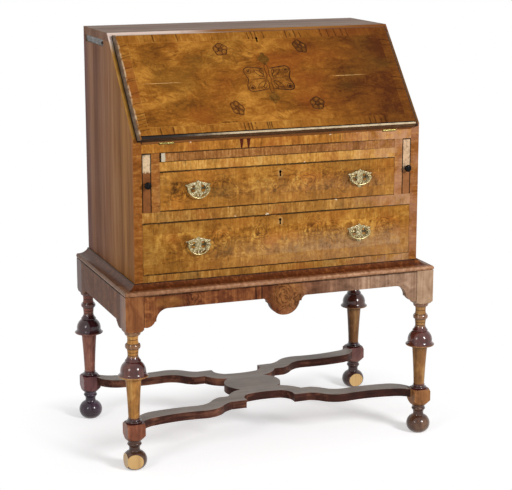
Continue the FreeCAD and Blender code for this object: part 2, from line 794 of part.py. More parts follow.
def fall_board():
    """Panel with a lip that laps over the edges of the case, drawn flat and placed on the slope."""
    inner_half = inner_w - FALL_GAP
    nosing_n = fall_face - NOSING_T
    core = box(-inner_half, inner_half, hinge_u, fall_inner_u, hinge_n, RUN_GAP)
    panel = core.fuse(fall_lip()).removeSplitter()
    nosing_seat = box(-nosing_half_w, nosing_half_w, hinge_u - OVERCUT, hinge_u + NOSING_H,
                      nosing_n, fall_face + OVERCUT)
    seats = [flat_leaf_blank(x, LEAF_T) for x in (-hinge_x, hinge_x)]
    key_u = fall_top_u - FALL_KEY_DROP
    eye = rod(KEYHOLE_R, FALL_T + 2 * OVERCUT, FreeCAD.Vector(0, key_u, hinge_n - OVERCUT), Z_AXIS)
    slot = box(-KEYHOLE_SLOT / 2, KEYHOLE_SLOT / 2, key_u + KEYHOLE_R - KEYHOLE_H, key_u,
               hinge_n - OVERCUT, fall_face + OVERCUT)
    knuckle_room = flat_hinge_rods(KNUCKLE_R + KNUCKLE_GAP, KNUCKLE_GAP)
    return on_slope(panel.cut([nosing_seat, eye, slot, flat_fall_lock()] + seats + knuckle_room))


def fall_nosing():
    """Reeded strip along the lower edge of the fall."""
    n0 = fall_face - NOSING_T
    reed = NOSING_T / REEDS
    start = (hinge_u + NOSING_H, n0)
    moves = [(hinge_u + reed / 3, n0)]
    for index in range(REEDS):
        low = n0 + index * reed
        moves.append(((hinge_u, low + reed / 2), (hinge_u + reed / 3, low + reed)))
    moves.append((hinge_u + NOSING_H, fall_face))
    strip = face("yz", -nosing_half_w, start, *moves).extrude(X_AXIS * (2 * nosing_half_w))
    side_room = box(-half_w, -inner_w + FALL_GAP, hinge_u - OVERCUT, hinge_u + NOSING_H + OVERCUT,
                    n0 - OVERCUT, RUN_GAP)
    return on_slope(strip.cut([side_room, mirror_x(side_room)]))


def fall_hinge_leaf(x):
    """Leaf let into the fall, with the two outer knuckles."""
    third = HINGE_L / 3
    leaf = flat_leaf_blank(x, LEAF_T)
    mid_base = FreeCAD.Vector(x - third / 2 - KNUCKLE_GAP, hinge_u, hinge_n)
    mid_room = rod(KNUCKLE_R + KNUCKLE_GAP, third + 2 * KNUCKLE_GAP, mid_base, X_AXIS)
    shape = leaf
    for base_x in (x - HINGE_L / 2, x + third / 2 + KNUCKLE_GAP):
        base = FreeCAD.Vector(base_x, hinge_u, hinge_n)
        shape = shape.fuse(rod(KNUCKLE_R, third - KNUCKLE_GAP, base, X_AXIS))
    bore_base = FreeCAD.Vector(x - HINGE_L / 2 - OVERCUT, hinge_u, hinge_n)
    bore = rod(HINGE_PIN_R + PIN_GAP, HINGE_L + 2 * OVERCUT, bore_base, X_AXIS)
    return on_slope(shape.cut([mid_room, bore]).removeSplitter())


def lock():
    """Lock let in from behind: a case with a wider back plate, flush with the y = 0 plane."""
    half = LOCK_W / 2
    case = box(-half, half, -LOCK_T, 0, -LOCK_H, 0)
    plate = box(-half - LOCK_LAP, half + LOCK_LAP, -LOCK_PLATE_T, 0, -LOCK_H, 0)
    return case.fuse(plate).removeSplitter()


def flat_fall_lock():
    flat = lock()
    flat.rotate(FreeCAD.Vector(0, 0, 0), X_AXIS, -90)
    return moved(flat, 0, fall_inner_u, hinge_n)


# Lopers and writing slide
def loper():
    """Right loper, a board on edge that carries the open fall."""
    half = LOPER_SLOT_W / 2 - SIDE_GAP
    board = box(loper_x - half, loper_x + half, case_front, loper_back_y,
                upper_floor + RUN_GAP, bed_base - LOPER_TOP_GAP)
    hole = rod(PEG_R, PEG_L, FreeCAD.Vector(loper_x, case_front, upper_floor + KNOB_Z), Y_AXIS)
    return board.cut(hole)


def pull_knob(radius, length, peg_r, peg_l):
    """Turned knob about Z with its shank down and its peg below the seat at height 0."""
    shank_r = radius * 0.45
    neck_h = length * 0.3
    return turned(
        (0, -peg_l),
        (peg_r, -peg_l),
        (peg_r, 0),
        (radius * 0.6, 0),
        (radius * 0.6, length * 0.1),
        ((shank_r, neck_h * 0.8), (radius * 0.62, length * 0.42)),
        ((radius, length * 0.68), (radius * 0.55, length * 0.95)),
        (0, length),
    )


def knob_facing_front(knob, x, y, z):
    turned_knob = knob.copy()
    turned_knob.rotate(FreeCAD.Vector(0, 0, 0), X_AXIS, 90)
    return moved(turned_knob, x, y, z)


def writing_slide():
    half = drawer_bay - SIDE_GAP
    z0 = slide_floor + RUN_GAP
    strip_back = case_front + SLIDE_LIP_D
    board = box(-half, half, strip_back, slide_back_y, z0, z0 + SLIDE_T)
    strip = box(-half + SLIDE_CHIP, half, case_front, strip_back, z0, bed_base - SLIDE_TOP_GAP)
    return board.fuse(strip).removeSplitter()


# Drawers
def drawer_front(half, z0, z1, key_drop):
    board = box(-half, half, case_front, case_front + FRONT_T, z0, z1)
    eye = keyhole(case_front - OVERCUT, case_front + FRONT_T + OVERCUT, z1 - key_drop)
    return board.cut([eye, drawer_lock(z1)])


def drawer_sides(half, z0, z1):
    y0 = case_front + FRONT_T
    sheet = box(half - BOX_T, half, y0, drawer_back_y, z0, z1 - BOX_DROP)
    return [mirror_x(sheet), sheet]


def drawer_back(half, z0, z1):
    inner = half - BOX_T
    y1 = drawer_back_y
    return box(-inner, inner, y1 - BOX_T, y1, z0 + BOX_BOTTOM_T, z1 - BOX_DROP)


def drawer_bottom(half, z0):
    inner = half - BOX_T
    return box(-inner, inner, case_front + FRONT_T, drawer_back_y, z0, z0 + BOX_BOTTOM_T)


def drawer_lock(z1):
    return moved(lock(), 0, case_front + FRONT_T, z1 - LOCK_EDGE)


# Handles
def plate_outline(y):
    """Shaped back plate: pointed top, straight slopes to the wing tips and a long lower lobe."""
    wing = PLATE_W / 2
    right = [
        ((wing * 0.1, PLATE_UP * 0.82), (wing * 0.3, PLATE_UP * 0.7)),
        (wing * 0.86, PLATE_WING_UP + PLATE_RIM / 2),
        ((wing * 0.97, PLATE_WING_UP + PLATE_RIM * 0.4), (wing, PLATE_WING_UP)),
        ((wing * 0.9, PLATE_WING_UP - PLATE_RIM * 0.6), (wing * 0.84, -PLATE_DOWN * 0.05)),
        ((wing * 0.78, -PLATE_DOWN * 0.4), (wing * 0.44, -PLATE_DOWN * 0.66)),
        ((wing * 0.3, -PLATE_DOWN * 0.74), (wing * 0.2, -PLATE_DOWN * 0.86)),
        ((wing * 0.11, -PLATE_DOWN * 0.96), (0.0, -PLATE_DOWN)),
    ]
    top = (0.0, PLATE_UP)
    start, left = mirrored_moves(top, right)
    return face("xz", y, start, *(left + right))


def plate_piercing(start, end, radius):
    """Slot with round ends through a handle plate, between two points in shares of the plate's width."""
    x0, z0 = start[0] * PLATE_W, start[1] * PLATE_W
    x1, z1 = end[0] * PLATE_W, end[1] * PLATE_W
    share = radius * PLATE_W / math.hypot(x1 - x0, z1 - z0)
    dx, dz = (x1 - x0) * share, (z1 - z0) * share
    outline = face(
        "xz", case_front - PLATE_T - OVERCUT,
        (x0 - dz, z0 + dx),
        ((x0 - dx, z0 - dz), (x0 + dz, z0 - dx)),
        (x1 + dz, z1 - dx),
        ((x1 + dx, z1 + dz), (x1 - dz, z1 + dx)),
    )
    return outline.extrude(Y_AXIS * (PLATE_T + 2 * OVERCUT))


def handle_plate(x, z):
    """Pierced plate on the drawer front, with the pivot height at z."""
    plate = plate_outline(case_front - PLATE_T).extrude(Y_AXIS * PLATE_T)
    upper = plate_piercing((0.16, 0.034), (0.2, 0.022), 0.04)
    lower = plate_piercing((0.165, -0.142), (0.235, -0.13), 0.05)
    tail = plate_piercing((0.055, -0.28), (0.04, -0.345), 0.022)
    cutters = [upper, lower, tail]
    return moved(plate.cut(cutters + [mirror_x(cutter) for cutter in cutters]), x, 0, z)


def handle_post():
    """Post about Z from the plate at 0, with a round head bored for the bail."""
    head_start = POST_REACH - POST_HEAD_R * 0.8
    post = turned(
        (0, 0),
        (POST_BASE_R, 0),
        (POST_BASE_R, POST_BASE_H),
        (POST_STEM_R, 2 * POST_BASE_H),
        (POST_STEM_R, head_start),
        ((POST_HEAD_R, POST_REACH), (POST_STEM_R * 0.7, POST_REACH + POST_HEAD_R * 0.85)),
        (0, POST_REACH + POST_HEAD_R),
    )
    bore_base = FreeCAD.Vector(-2 * POST_HEAD_R, 0, POST_REACH)
    return post.cut(rod(BAIL_R + PIN_GAP, 4 * POST_HEAD_R, bore_base, X_AXIS))


def handle_posts(x, z):
    return [knob_facing_front(handle_post(), x + sign * POST_X, case_front - PLATE_T, z) for sign in (-1, 1)]


def handle_bail(x, z, drop):
    """Oval bail of round wire whose ends turn inwards through the posts."""
    y = case_front - PLATE_T - POST_REACH
    pin_x = POST_X - POST_HEAD_R
    corner_x = BAIL_HALF_W - BAIL_BEND
    shoulder_r = drop * BAIL_SHOULDER_SHARE
    spread = BAIL_HALF_W - shoulder_r
    depth = drop - shoulder_r
    belly_z = (spread ** 2 + BAIL_BEND ** 2 - depth ** 2) / (2 * (depth - BAIL_BEND))
    belly_r = belly_z + drop
    reach = math.hypot(spread, belly_z + BAIL_BEND)
    join = (belly_r * spread / reach, belly_z - belly_r * (belly_z + BAIL_BEND) / reach)
    turn = math.atan2(-join[1] - BAIL_BEND, join[0] - spread) / 2
    shoulder = (spread + shoulder_r * math.cos(turn), -BAIL_BEND - shoulder_r * math.sin(turn))
    bend = BAIL_BEND * math.sqrt(0.5)
    half = [
        ((join[0] * 0.5, belly_z - math.sqrt(belly_r ** 2 - join[0] ** 2 / 4)), join),
        (shoulder, (BAIL_HALF_W, -BAIL_BEND)),
        ((corner_x + bend, -BAIL_BEND + bend), (corner_x, 0.0)),
        (pin_x, 0.0),
    ]
    start, left = mirrored_moves((0.0, -drop), half)
    spine = Part.Wire(edges_along(start, left + half, lambda p: FreeCAD.Vector(p[0], y, p[1])))
    section = Part.Wire([Part.makeCircle(BAIL_R, FreeCAD.Vector(-pin_x, y, 0), X_AXIS)])
    wire = spine.makePipeShell([section], True, False)
    return moved(wire, x, 0, z)


# Nest behind the fall
def nest_shelf():
    return box(-inner_w, inner_w, nest_front, inner_back, nest_shelf_z, nest_shelf_z + NEST_T)


def nest_dividers():
    """Upright dividers of the pigeonholes with scooped front edges, and one between the drawers."""
    z0 = nest_shelf_z + NEST_T
    rise = top_base - z0
    scoop = rise * 0.16
    profile = face(
        "yz", 0.0,
        (nest_front, z0),
        (inner_back, z0),
        (inner_back, top_base),
        (nest_front, top_base),
        (nest_front, top_base - rise * 0.2),
        ((nest_front + scoop, z0 + rise * 0.5), (nest_front, z0 + rise * 0.2)),
    )
    blank = profile.extrude(X_AXIS * NEST_T)
    pitch = 2 * inner_w / PIGEONHOLES
    boards = [moved(blank, -inner_w + i * pitch - NEST_T / 2, 0, 0) for i in range(1, PIGEONHOLES)]
    boards.append(box(-NEST_T / 2, NEST_T / 2, nest_front, inner_back, bed_top, nest_shelf_z))
    return boards


def nest_drawer():
    """Right small drawer: a thick front on a thin tray."""
    x0 = NEST_T / 2 + SIDE_GAP
    x1 = inner_w - SIDE_GAP
    z0 = bed_top + RUN_GAP
    z1 = nest_shelf_z - RUN_GAP
    y1 = nest_back_y
    front = box(x0, x1, nest_front, nest_front + NEST_FRONT_T, z0, z1)
    tray = box(x0, x1, nest_front, y1, z0, z1 - NEST_BOX_T)
    hollow = box(x0 + NEST_BOX_T, x1 - NEST_BOX_T, nest_front + NEST_FRONT_T, y1 - NEST_BOX_T,
                 z0 + NEST_BOX_T, z1 + OVERCUT)
    hole = rod(PEG_R, NEST_FRONT_T, FreeCAD.Vector((x0 + x1) / 2, nest_front, (z0 + z1) / 2), Y_AXIS)
    return front.fuse(tray).cut([hollow, hole]).removeSplitter()


def nest_knob():
    x0 = NEST_T / 2 + SIDE_GAP
    x1 = inner_w - SIDE_GAP
    knob = pull_knob(NEST_KNOB_R, NEST_KNOB_L, PEG_R, NEST_FRONT_T)
    return knob_facing_front(knob, (x0 + x1) / 2, nest_front, (bed_top + nest_shelf_z) / 2)


def build_stand():
    losses = {"front_left": (FRONT_FOOT_TURN, FRONT_FOOT_TURN - LOSS_APART), "back_right": (0.0,)}
    feet = []
    for name, x, y in stand_corners():
        save("leg_" + name, moved(leg(), x, y, 0))
        foot = ball_foot()
        for degrees in losses.get(name, ()):
            foot = foot.cut(foot_loss(degrees))
        feet.append(moved(foot, x, y, 0))
    save("ball_feet", *feet)
    arm = stretcher_arm()
    save("stretcher_platform", stretcher_platform())
    save("stretcher_arms", arm, mirror_x(arm), mirror_y(arm), mirror_x(mirror_y(arm)))
    save("front_apron", front_apron())
    save("side_apron_right", side_apron())
    save("side_apron_left", mirror_x(side_apron()))
    save("back_rail", back_rail())
    save("stand_moulding_front", moulding_front())
    save("stand_moulding_right", moulding_side())
    save("stand_moulding_left", mirror_x(moulding_side()))


def build_case():
    save("side_right", side_board())
    save("side_left", mirror_x(side_board()).cut(strap_recess(STRAP_DEPTH)))
    save("side_strap", side_strap())
    save("strap_stud", strap_stud())
    save("top_board", top_board())
    save("back_boards", *back_boards())
    save("bottom_board", box(-inner_w, inner_w, case_front, inner_back, case_base, lower_floor))
    save("drawer_dustboard", dustboard(inner_w, lower_ceiling, upper_floor))
    divider = box(drawer_bay, divider_out, case_front, inner_back, upper_floor, bed_base)
    save("loper_dividers", mirror_x(divider), divider)
    save("slide_dustboard", dustboard(drawer_bay, upper_ceiling, slide_floor))
    save("bed_board", bed_board())
    save("bed_hinge_leaves", bed_hinge_leaf(-hinge_x), bed_hinge_leaf(hinge_x))
    save("nest_shelf", nest_shelf())
    save("nest_dividers", *nest_dividers())


def build_fall():
    save("fall_board", fall_board())
    save("fall_nosing", fall_nosing())
    save("fall_hinge_leaves", fall_hinge_leaf(-hinge_x), fall_hinge_leaf(hinge_x))
    save("fall_lock", on_slope(flat_fall_lock()))


def build_pulls():
    knob = pull_knob(KNOB_R, KNOB_L, PEG_R, PEG_L)
    knob = knob_facing_front(knob, loper_x, case_front, upper_floor + KNOB_Z)
    save("loper_right", loper())
    save("loper_left", mirror_x(loper()))
    save("loper_knob_right", knob)
    save("loper_knob_left", mirror_x(knob))
    save("writing_slide", writing_slide())
    save("nest_drawer_right", nest_drawer())
    save("nest_drawer_left", mirror_x(nest_drawer()))
    save("nest_knob_right", nest_knob())
    save("nest_knob_left", mirror_x(nest_knob()))


def build_drawer(name, half_bay, floor, ceiling, key_drop):
    half = half_bay - SIDE_GAP
    z0 = floor + RUN_GAP
    z1 = ceiling - DRAWER_TOP_GAP
    pivot_z = (floor + ceiling) / 2 + PIVOT_UP
    save(name + "_drawer_front", drawer_front(half, floor + DRAWER_FOOT_GAP, z1, key_drop))
    save(name + "_drawer_sides", *drawer_sides(half, z0, z1))
    save(name + "_drawer_back", drawer_back(half, z0, z1))
    save(name + "_drawer_bottom", drawer_bottom(half, z0))
    save(name + "_drawer_lock", drawer_lock(z1))
    save(name + "_handle_plates", *[handle_plate(x, pivot_z) for x in (-handle_x, handle_x)])
    save(name + "_handle_posts", *(handle_posts(-handle_x, pivot_z) + handle_posts(handle_x, pivot_z)))
    save(name + "_bail_left", handle_bail(-handle_x, pivot_z, LEFT_BAIL_DROP))
    save(name + "_bail_right", handle_bail(handle_x, pivot_z, RIGHT_BAIL_DROP))


os.makedirs("parts", exist_ok=True)
build_stand()
build_case()
build_fall()
build_pulls()
build_drawer("upper", drawer_bay, upper_floor, upper_ceiling, UPPER_KEY_DROP)
build_drawer("lower", inner_w, lower_floor, lower_ceiling, LOWER_KEY_DROP)
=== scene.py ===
import math
import bpy
from mathutils import Matrix, Vector


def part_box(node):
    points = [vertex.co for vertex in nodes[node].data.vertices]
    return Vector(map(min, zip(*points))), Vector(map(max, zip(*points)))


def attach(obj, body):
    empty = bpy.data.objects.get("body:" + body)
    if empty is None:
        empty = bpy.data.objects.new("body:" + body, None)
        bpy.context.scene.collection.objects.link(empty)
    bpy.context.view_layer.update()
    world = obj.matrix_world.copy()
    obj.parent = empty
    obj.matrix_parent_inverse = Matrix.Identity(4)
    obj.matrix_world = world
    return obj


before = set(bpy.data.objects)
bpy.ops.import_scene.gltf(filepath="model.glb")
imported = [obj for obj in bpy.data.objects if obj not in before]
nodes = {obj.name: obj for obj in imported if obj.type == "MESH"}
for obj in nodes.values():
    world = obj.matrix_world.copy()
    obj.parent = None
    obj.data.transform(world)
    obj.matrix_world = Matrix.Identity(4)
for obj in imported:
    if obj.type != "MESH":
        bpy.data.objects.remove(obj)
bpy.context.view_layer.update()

# Places on the desk, in metres
SLOPE = math.atan2(0.234, 0.207)
SLOPE_FOOT_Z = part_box("bed_board")[1][2] + 0.0145  # where the upright front ends
FALL_FACE = 0.01427  # outer face of the fall in front of the slope
FALL_INSIDE = -0.00923
FALL_LOW, FALL_HIGH = -0.0022, 0.2904  # veneered face of the fall, up the slope
FALL_HALF = 0.3622
FALL_KEY = 0.2709
FALL_JOINT = (0.1454, 0.1466)  # open joint between the leaves of veneer
FALL_BAND = 0.022  # crossbanded border of the fall
DRAWER_BAND = 0.026
MATCH_X = 0.012  # where the matched leaves of a drawer meet
SLIDE_JOINT_X = -0.262
APRON_JOINT_X = 0.368
APRON_SPLITS = (-78, -62)  # in millimetres
NOSE_HEIGHT = 0.0105  # nose of the stand moulding
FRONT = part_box("side_left")[0][1]
SIDE_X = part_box("side_right")[1][0]
TOP_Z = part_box("top_board")[1][2]
STRETCHER_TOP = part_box("stretcher_platform")[1][2]
LEG_X, LEG_Y = 0.391, 0.21
FOOT_FLAT = 0.0233  # bare flats of two feet, from the axis
HANDLE_X = 0.216
SHADE_SPOT_X = 0.0135  # spots of painted shade on a handle plate, from its middle
PIVOT_Z = {"upper": 0.6975, "lower": 0.557}
PLATE_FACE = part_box("upper_handle_plates")[0][1]
SKIN = 0.0008  # depth within which a face counts as veneered
INLAY = 0.0001  # inlaid wood proud of the veneer
HAIR = 0.0004  # half the width of a joint between veneers


def tone(red, green, blue):
    """Linear colour of a tone given as it looks, from 0 to 255."""
    def linear(v):
        v /= 255
        return v / 12.92 if v <= 0.04045 else ((v + 0.055) / 1.055) ** 2.4
    return linear(red), linear(green), linear(blue), 1.0


def metres(lengths):
    return tuple(length / 1000 for length in lengths)


def operator(name):
    """A method that adds one Math node."""
    return lambda self, *others: self.math(name, *others)


class Value:
    """An output in a node tree. Sums and comparisons of it add Math nodes there."""

    def __init__(self, maker, socket):
        self.maker = maker
        self.socket = socket

    def also(self, out):
        return Value(self.maker, self.socket.node.outputs[out])

    def math(self, operation, *others):
        return self.maker.node("ShaderNodeMath", {"operation": operation}, dict(enumerate((self,) + others)))

    def __rsub__(self, other):
        return self.math("MULTIPLY_ADD", -1, other)

    __add__ = __radd__ = operator("ADD")
    __sub__ = operator("SUBTRACT")
    __mul__ = __rmul__ = operator("MULTIPLY")
    __truediv__ = operator("DIVIDE")
    __abs__ = operator("ABSOLUTE")
    __gt__ = operator("GREATER_THAN")
    __lt__ = operator("LESS_THAN")
    low = operator("MINIMUM")
    high = operator("MAXIMUM")
    fract = operator("FRACT")
    root = operator("SQRT")

    def rise(self, start, end):
        """Smooth step from 0 at start to 1 at end."""
        sockets = {"Value": self, "From Min": start, "From Max": end}
        return self.maker.node("ShaderNodeMapRange", {"interpolation_type": "SMOOTHSTEP"}, sockets)

    def between(self, start, end, soft):
        return self.rise(start - soft, start) * self.rise(end + soft, end)

    def near(self, place, half, soft):
        """1 within half of a place, 0 beyond soft."""
        return abs(self - place).rise(soft, half)

    def ramp(self, *stops):
        """Colour by the value, from stops of a place and a tone."""
        settings = {"stops": [(place, tone(*shade)) for place, shade in stops]}
        return Colour(self.maker, self.maker.node("ShaderNodeValToRGB", settings, {0: self}).socket)

    def wood(self, dark, middle, light):
        return self.ramp((0, dark), (0.5, middle), (1, light))


class Colour(Value):
    """A colour over which other tones are laid."""

    def lay(self, over, share):
        self.socket = self.maker.mix(self, over, share).socket

    def shade(self, amount):
        """Darkens or lightens the colour by a grey amount."""
        self.socket = self.maker.mix(self, amount, 1, "MULTIPLY").socket


class Maker:
    """A node tree that is being filled."""

    def __init__(self, tree):
        self.tree = tree

    def node(self, kind, settings, sockets, out=0):
        """New node: its settings first, then the values or links of its sockets. Gives one output."""
        made = self.tree.nodes.new(kind)
        for name, setting in settings.items():
            if name == "stops":
                steps = made.color_ramp.elements
                while len(steps) < len(setting):
                    steps.new(1)
                for step, (position, colour) in zip(steps, setting):
                    step.position = position
                    step.color = colour
            else:
                setattr(made, name, setting)
        for key, given in sockets.items():
            for one in given if isinstance(given, list) else [given]:
                if isinstance(one, Value):
                    self.tree.links.new(one.socket, made.inputs[key])
                else:
                    made.inputs[key].default_value = one
        return Value(self, made.outputs[out]) if made.outputs else made


class Finish(Maker):
    """A material that is being made, on the Object coordinates of its piece."""

    def __init__(self, name, specular=0.5, **constants):
        self.material = bpy.data.materials.new(name)
        self.material.use_nodes = True
        super().__init__(self.material.node_tree)
        self.surface = self.tree.nodes["Principled BSDF"]
        constants["Specular_IOR_Level"] = specular
        for socket, constant in constants.items():
            self.surface.inputs[socket.replace("_", " ")].default_value = constant
        place = self.node("ShaderNodeTexCoord", {}, {}, "Object")
        self.x = self.node("ShaderNodeSeparateXYZ", {}, {0: place})
        self.y = self.x.also(1)
        self.z = self.x.also(2)
        self.place = self.x, self.y, self.z

    def slope(self):
        """How far a point lies up the slope of the desk, and how far out from it."""
        dy = self.y - FRONT
        dz = self.z - SLOPE_FOOT_Z
        return dy * math.cos(SLOPE) + dz * math.sin(SLOPE), dz * math.cos(SLOPE) - dy * math.sin(SLOPE)

    def vector(self, a, b, c):
        return self.node("ShaderNodeCombineXYZ", {}, {0: a, 1: b, 2: c})

    def noise(self, a, b, c, detail, seed, rough=0.5, warp=0):
        """Noise from 0 to 1 whose lumps are one unit of a, b and c across."""
        sockets = {"Vector": self.vector(a, b, c), "W": seed, "Scale": 1, "Detail": detail,
                   "Roughness": rough, "Distortion": warp}
        return self.node("ShaderNodeTexNoise", {"noise_dimensions": "4D"}, sockets)

    def flat(self, a, b, per_a, per_b, detail, seed, rough=0.5, warp=0):
        """Noise on a face, with so many lumps to the metre along a and b."""
        return self.noise(a * per_a, b * per_b, 0, detail, seed, rough, warp)

    def lumps(self, count, detail, seed, rough=0.5):
        """Noise with as many lumps to the metre each way."""
        return self.noise(self.x * count, self.y * count, self.z * count, detail, seed, rough)

    def eyes(self, a, b, seed):
        """Distance to the nearest of many scattered points."""
        sockets = {"Vector": self.vector(a, b, 0), "W": seed, "Scale": 1}
        return self.node("ShaderNodeTexVoronoi", {"voronoi_dimensions": "4D"}, sockets)

    def leaf(self, value, seed):
        """One number from 0 to 1 for each whole step of a value."""
        return self.node("ShaderNodeTexWhiteNoise", {"noise_dimensions": "2D"},
                         {"Vector": self.vector(value.math("FLOOR"), seed, 0)})

    def mix(self, under, over, share, blend="MIX"):
        """One colour over another. Either may be a plain tone."""
        under, over = (tone(*one) if isinstance(one, tuple) else one for one in (under, over))
        settings = {"data_type": "RGBA", "blend_type": blend}
        return Colour(self, self.node("ShaderNodeMix", settings, {0: share, 6: under, 7: over}, 2).socket)

    def veneered(self, skin, board):
        """The skin at the front of the desk, and the board behind it."""
        return self.mix(skin, board, self.y.rise(FRONT + SKIN, FRONT + 2 * SKIN))

    def spot(self, across, along, centre, size):
        """1 inside a soft oval spot, 0 outside."""
        dx = (across - centre[0]) / size[0]
        dy = (along - centre[1]) / size[1]
        return (dx * dx + dy * dy).rise(1, 0.1)

    def bars(self, value, places, half):
        """1 on narrow bars at some places along a value, given in millimetres."""
        return sum(value.near(place / 1000, half * 0.6, half * 1.6) for place in places)

    def dirt_and_shade(self, distance, width, seed):
        """Darkening along an edge, by the distance from it: dirt, and painted shade of the gap or crease
        there.
        """
        return distance.rise(width, width * 0.35) * self.lumps(40, 3, seed).rise(0.3, 0.46)

    def rub(self, colour, bare, radius, where):
        """Lays a tone on the arrises of a piece, where they are rubbed."""
        soft = self.node("ShaderNodeBevel", {"samples": 4}, {"Radius": radius})
        sharp = self.node("ShaderNodeNewGeometry", {}, {}, "Normal")
        same = self.node("ShaderNodeVectorMath", {"operation": "DOT_PRODUCT"}, {0: soft, 1: sharp}, "Value")
        colour.lay(bare, same.rise(0.97, 0.8) * where)

    def link(self, value, socket):
        self.tree.links.new(value.socket, self.surface.inputs[socket])

    def done(self, colour, roughness, relief, depth=0.0002):
        """The material, with its colour, roughness and relief wired up."""
        self.link(colour, "Base Color")
        self.link(roughness, "Roughness")
        bump = self.node("ShaderNodeBump", {}, {"Strength": 0.5, "Distance": depth, "Height": relief})
        self.link(bump, "Normal")
        return self.material


# Figures of the wood
def straight_grain(f, along, across, deep, seed):
    """Straight-grained board: broad bands, streaks and fine pores."""
    wander = f.noise(along * 2, across * 4, deep * 4, 2, seed + 7)
    across = across + (wander - 0.5) * 0.02
    bands = f.noise(along * 1.2, across * 22, deep * 22, 3, seed)
    streaks = f.noise(along * 4, across * 150, deep * 150, 4, seed + 1, 0.6)
    pores = f.noise(along * 22, across * 900, deep * 900, 2, seed + 2)
    return (bands * 0.5 + streaks * 0.35 + pores * 0.15).rise(0.27, 0.73)


def cloudy_figure(f, a, b, seed):
    """Soft clouds and wisps of a veneer cut from the root, about 0.5."""
    cloud = f.flat(a, b, 8, 14, 3, seed, 0.45, 0.7)
    wisp = f.flat(a, b, 26, 52, 5, seed + 1, 0.6, 1.6)
    fleck = f.flat(a, b, 170, 240, 2, seed + 2)
    return cloud + wisp * 0.8 + fleck * 0.35 - 0.575


def contour_lines(f, a, b, count, seed):
    """Thin dark lines that follow the swirls of a figured veneer, in patches."""
    swirl = f.flat(a, b, 13, 15, 2.5, seed, 0.45, 1.2)
    line = abs((swirl * count).fract() - 0.5).rise(0.2, 0.03)
    return line * f.flat(a, b, 12, 16, 3, seed + 1).rise(0.46, 0.62)


def swirls(f, across, along, knots, seed):
    """Dark rings of a burr about its knots, each given by its centre and reach."""
    wander = (f.flat(across, along, 26, 26, 3, seed) - 0.5) * 0.06
    broken = f.flat(across, along, 90, 90, 3, seed + 1).rise(0.36, 0.56)
    rings = 0
    for centre, reach in knots:
        at_x, at_z, reach = metres((*centre, reach))
        dx = across - at_x
        dz = (along - at_z) * 0.9
        away = (dx * dx + dz * dz).root() + wander
        ring = abs((away * 120).fract() - 0.5).rise(0.3, 0.06)
        rings = ring * away.rise(reach, reach * 0.45) + rings
    return rings.low(1) * broken


def cross_grain(f, along, across, seed):
    """Grain that runs across a band, about 0.5, and its few dark lines, which come in groups."""
    lean = f.flat(along, across, 30, 30, 2, seed + 5)
    along = along + (lean - 0.5) * 0.006
    broad = f.flat(along, across, 26, 8, 4, seed, 0.6)
    line = f.flat(along, across, 200, 18, 3, seed + 1, 0.6)
    speck = f.flat(along, across, 130, 100, 3, seed + 3, 0.6)
    group = f.flat(along, across, 16, 14, 2, seed + 2)
    dark = line.rise(0.53, 0.66) * group.rise(0.46, 0.6)
    return broad * 1.1 + line * 0.9 + speck * 0.8 - 0.9, dark


def border_grain(f, across, up, is_end, seed):
    """Grain and dark lines of a crossbanded border, which turn at its corners."""
    ends_grain, ends_dark = cross_grain(f, across, up, seed)
    side_grain, side_dark = cross_grain(f, up, across, seed + 4)
    is_side = 1 - is_end
    return ends_grain * is_end + side_grain * is_side, ends_dark * is_end + side_dark * is_side


def polish(f, figure, shine):
    """Roughness of an old polish, duller in the open grain."""
    smear = f.lumps(14, 2, 40)
    return shine + smear * 0.14 - figure * 0.06


# Darker clouds in the figure of the fall, in millimetres: centre (across, up the slope), half size, depth
FALL_CLOUDS = (
    ((-300, 246), (60, 32), 0.15), ((-205, 172), (60, 26), 0.14), ((-220, 112), (90, 34), 0.08),
    ((216, 176), (62, 36), 0.24), ((238, 118), (88, 36), 0.22), ((180, 88), (80, 34), 0.18),
    ((305, 225), (60, 60), 0.12), ((310, 90), (50, 70), 0.12), ((320, 36), (34, 20), 0.16),
    ((70, 220), (40, 20), 0.2), ((-280, 46), (46, 24), 0.18), ((30, 70), (120, 26), 0.14),
    ((0, 150), (170, 110), 0.09), ((190, 250), (50, 30), 0.1),
)
# Dark lines of the crossbanding, in millimetres along the border
TOP_LINES = (-272, -210, -22, -11, -1, 19, 82, 93, 106, 120, 179, 198, 218, 238, 252)
LOW_LINES = (-309, -278, -95, -85, -77, -66, -35, -30, -25, 240, 254, 270, 284)
RIGHT_LINES = (253, 135, 98)
LEFT_LINES = (262, 236, 228, 196, 164, 158, 121, 92, 62, 54, 45, 33, 24, 14)


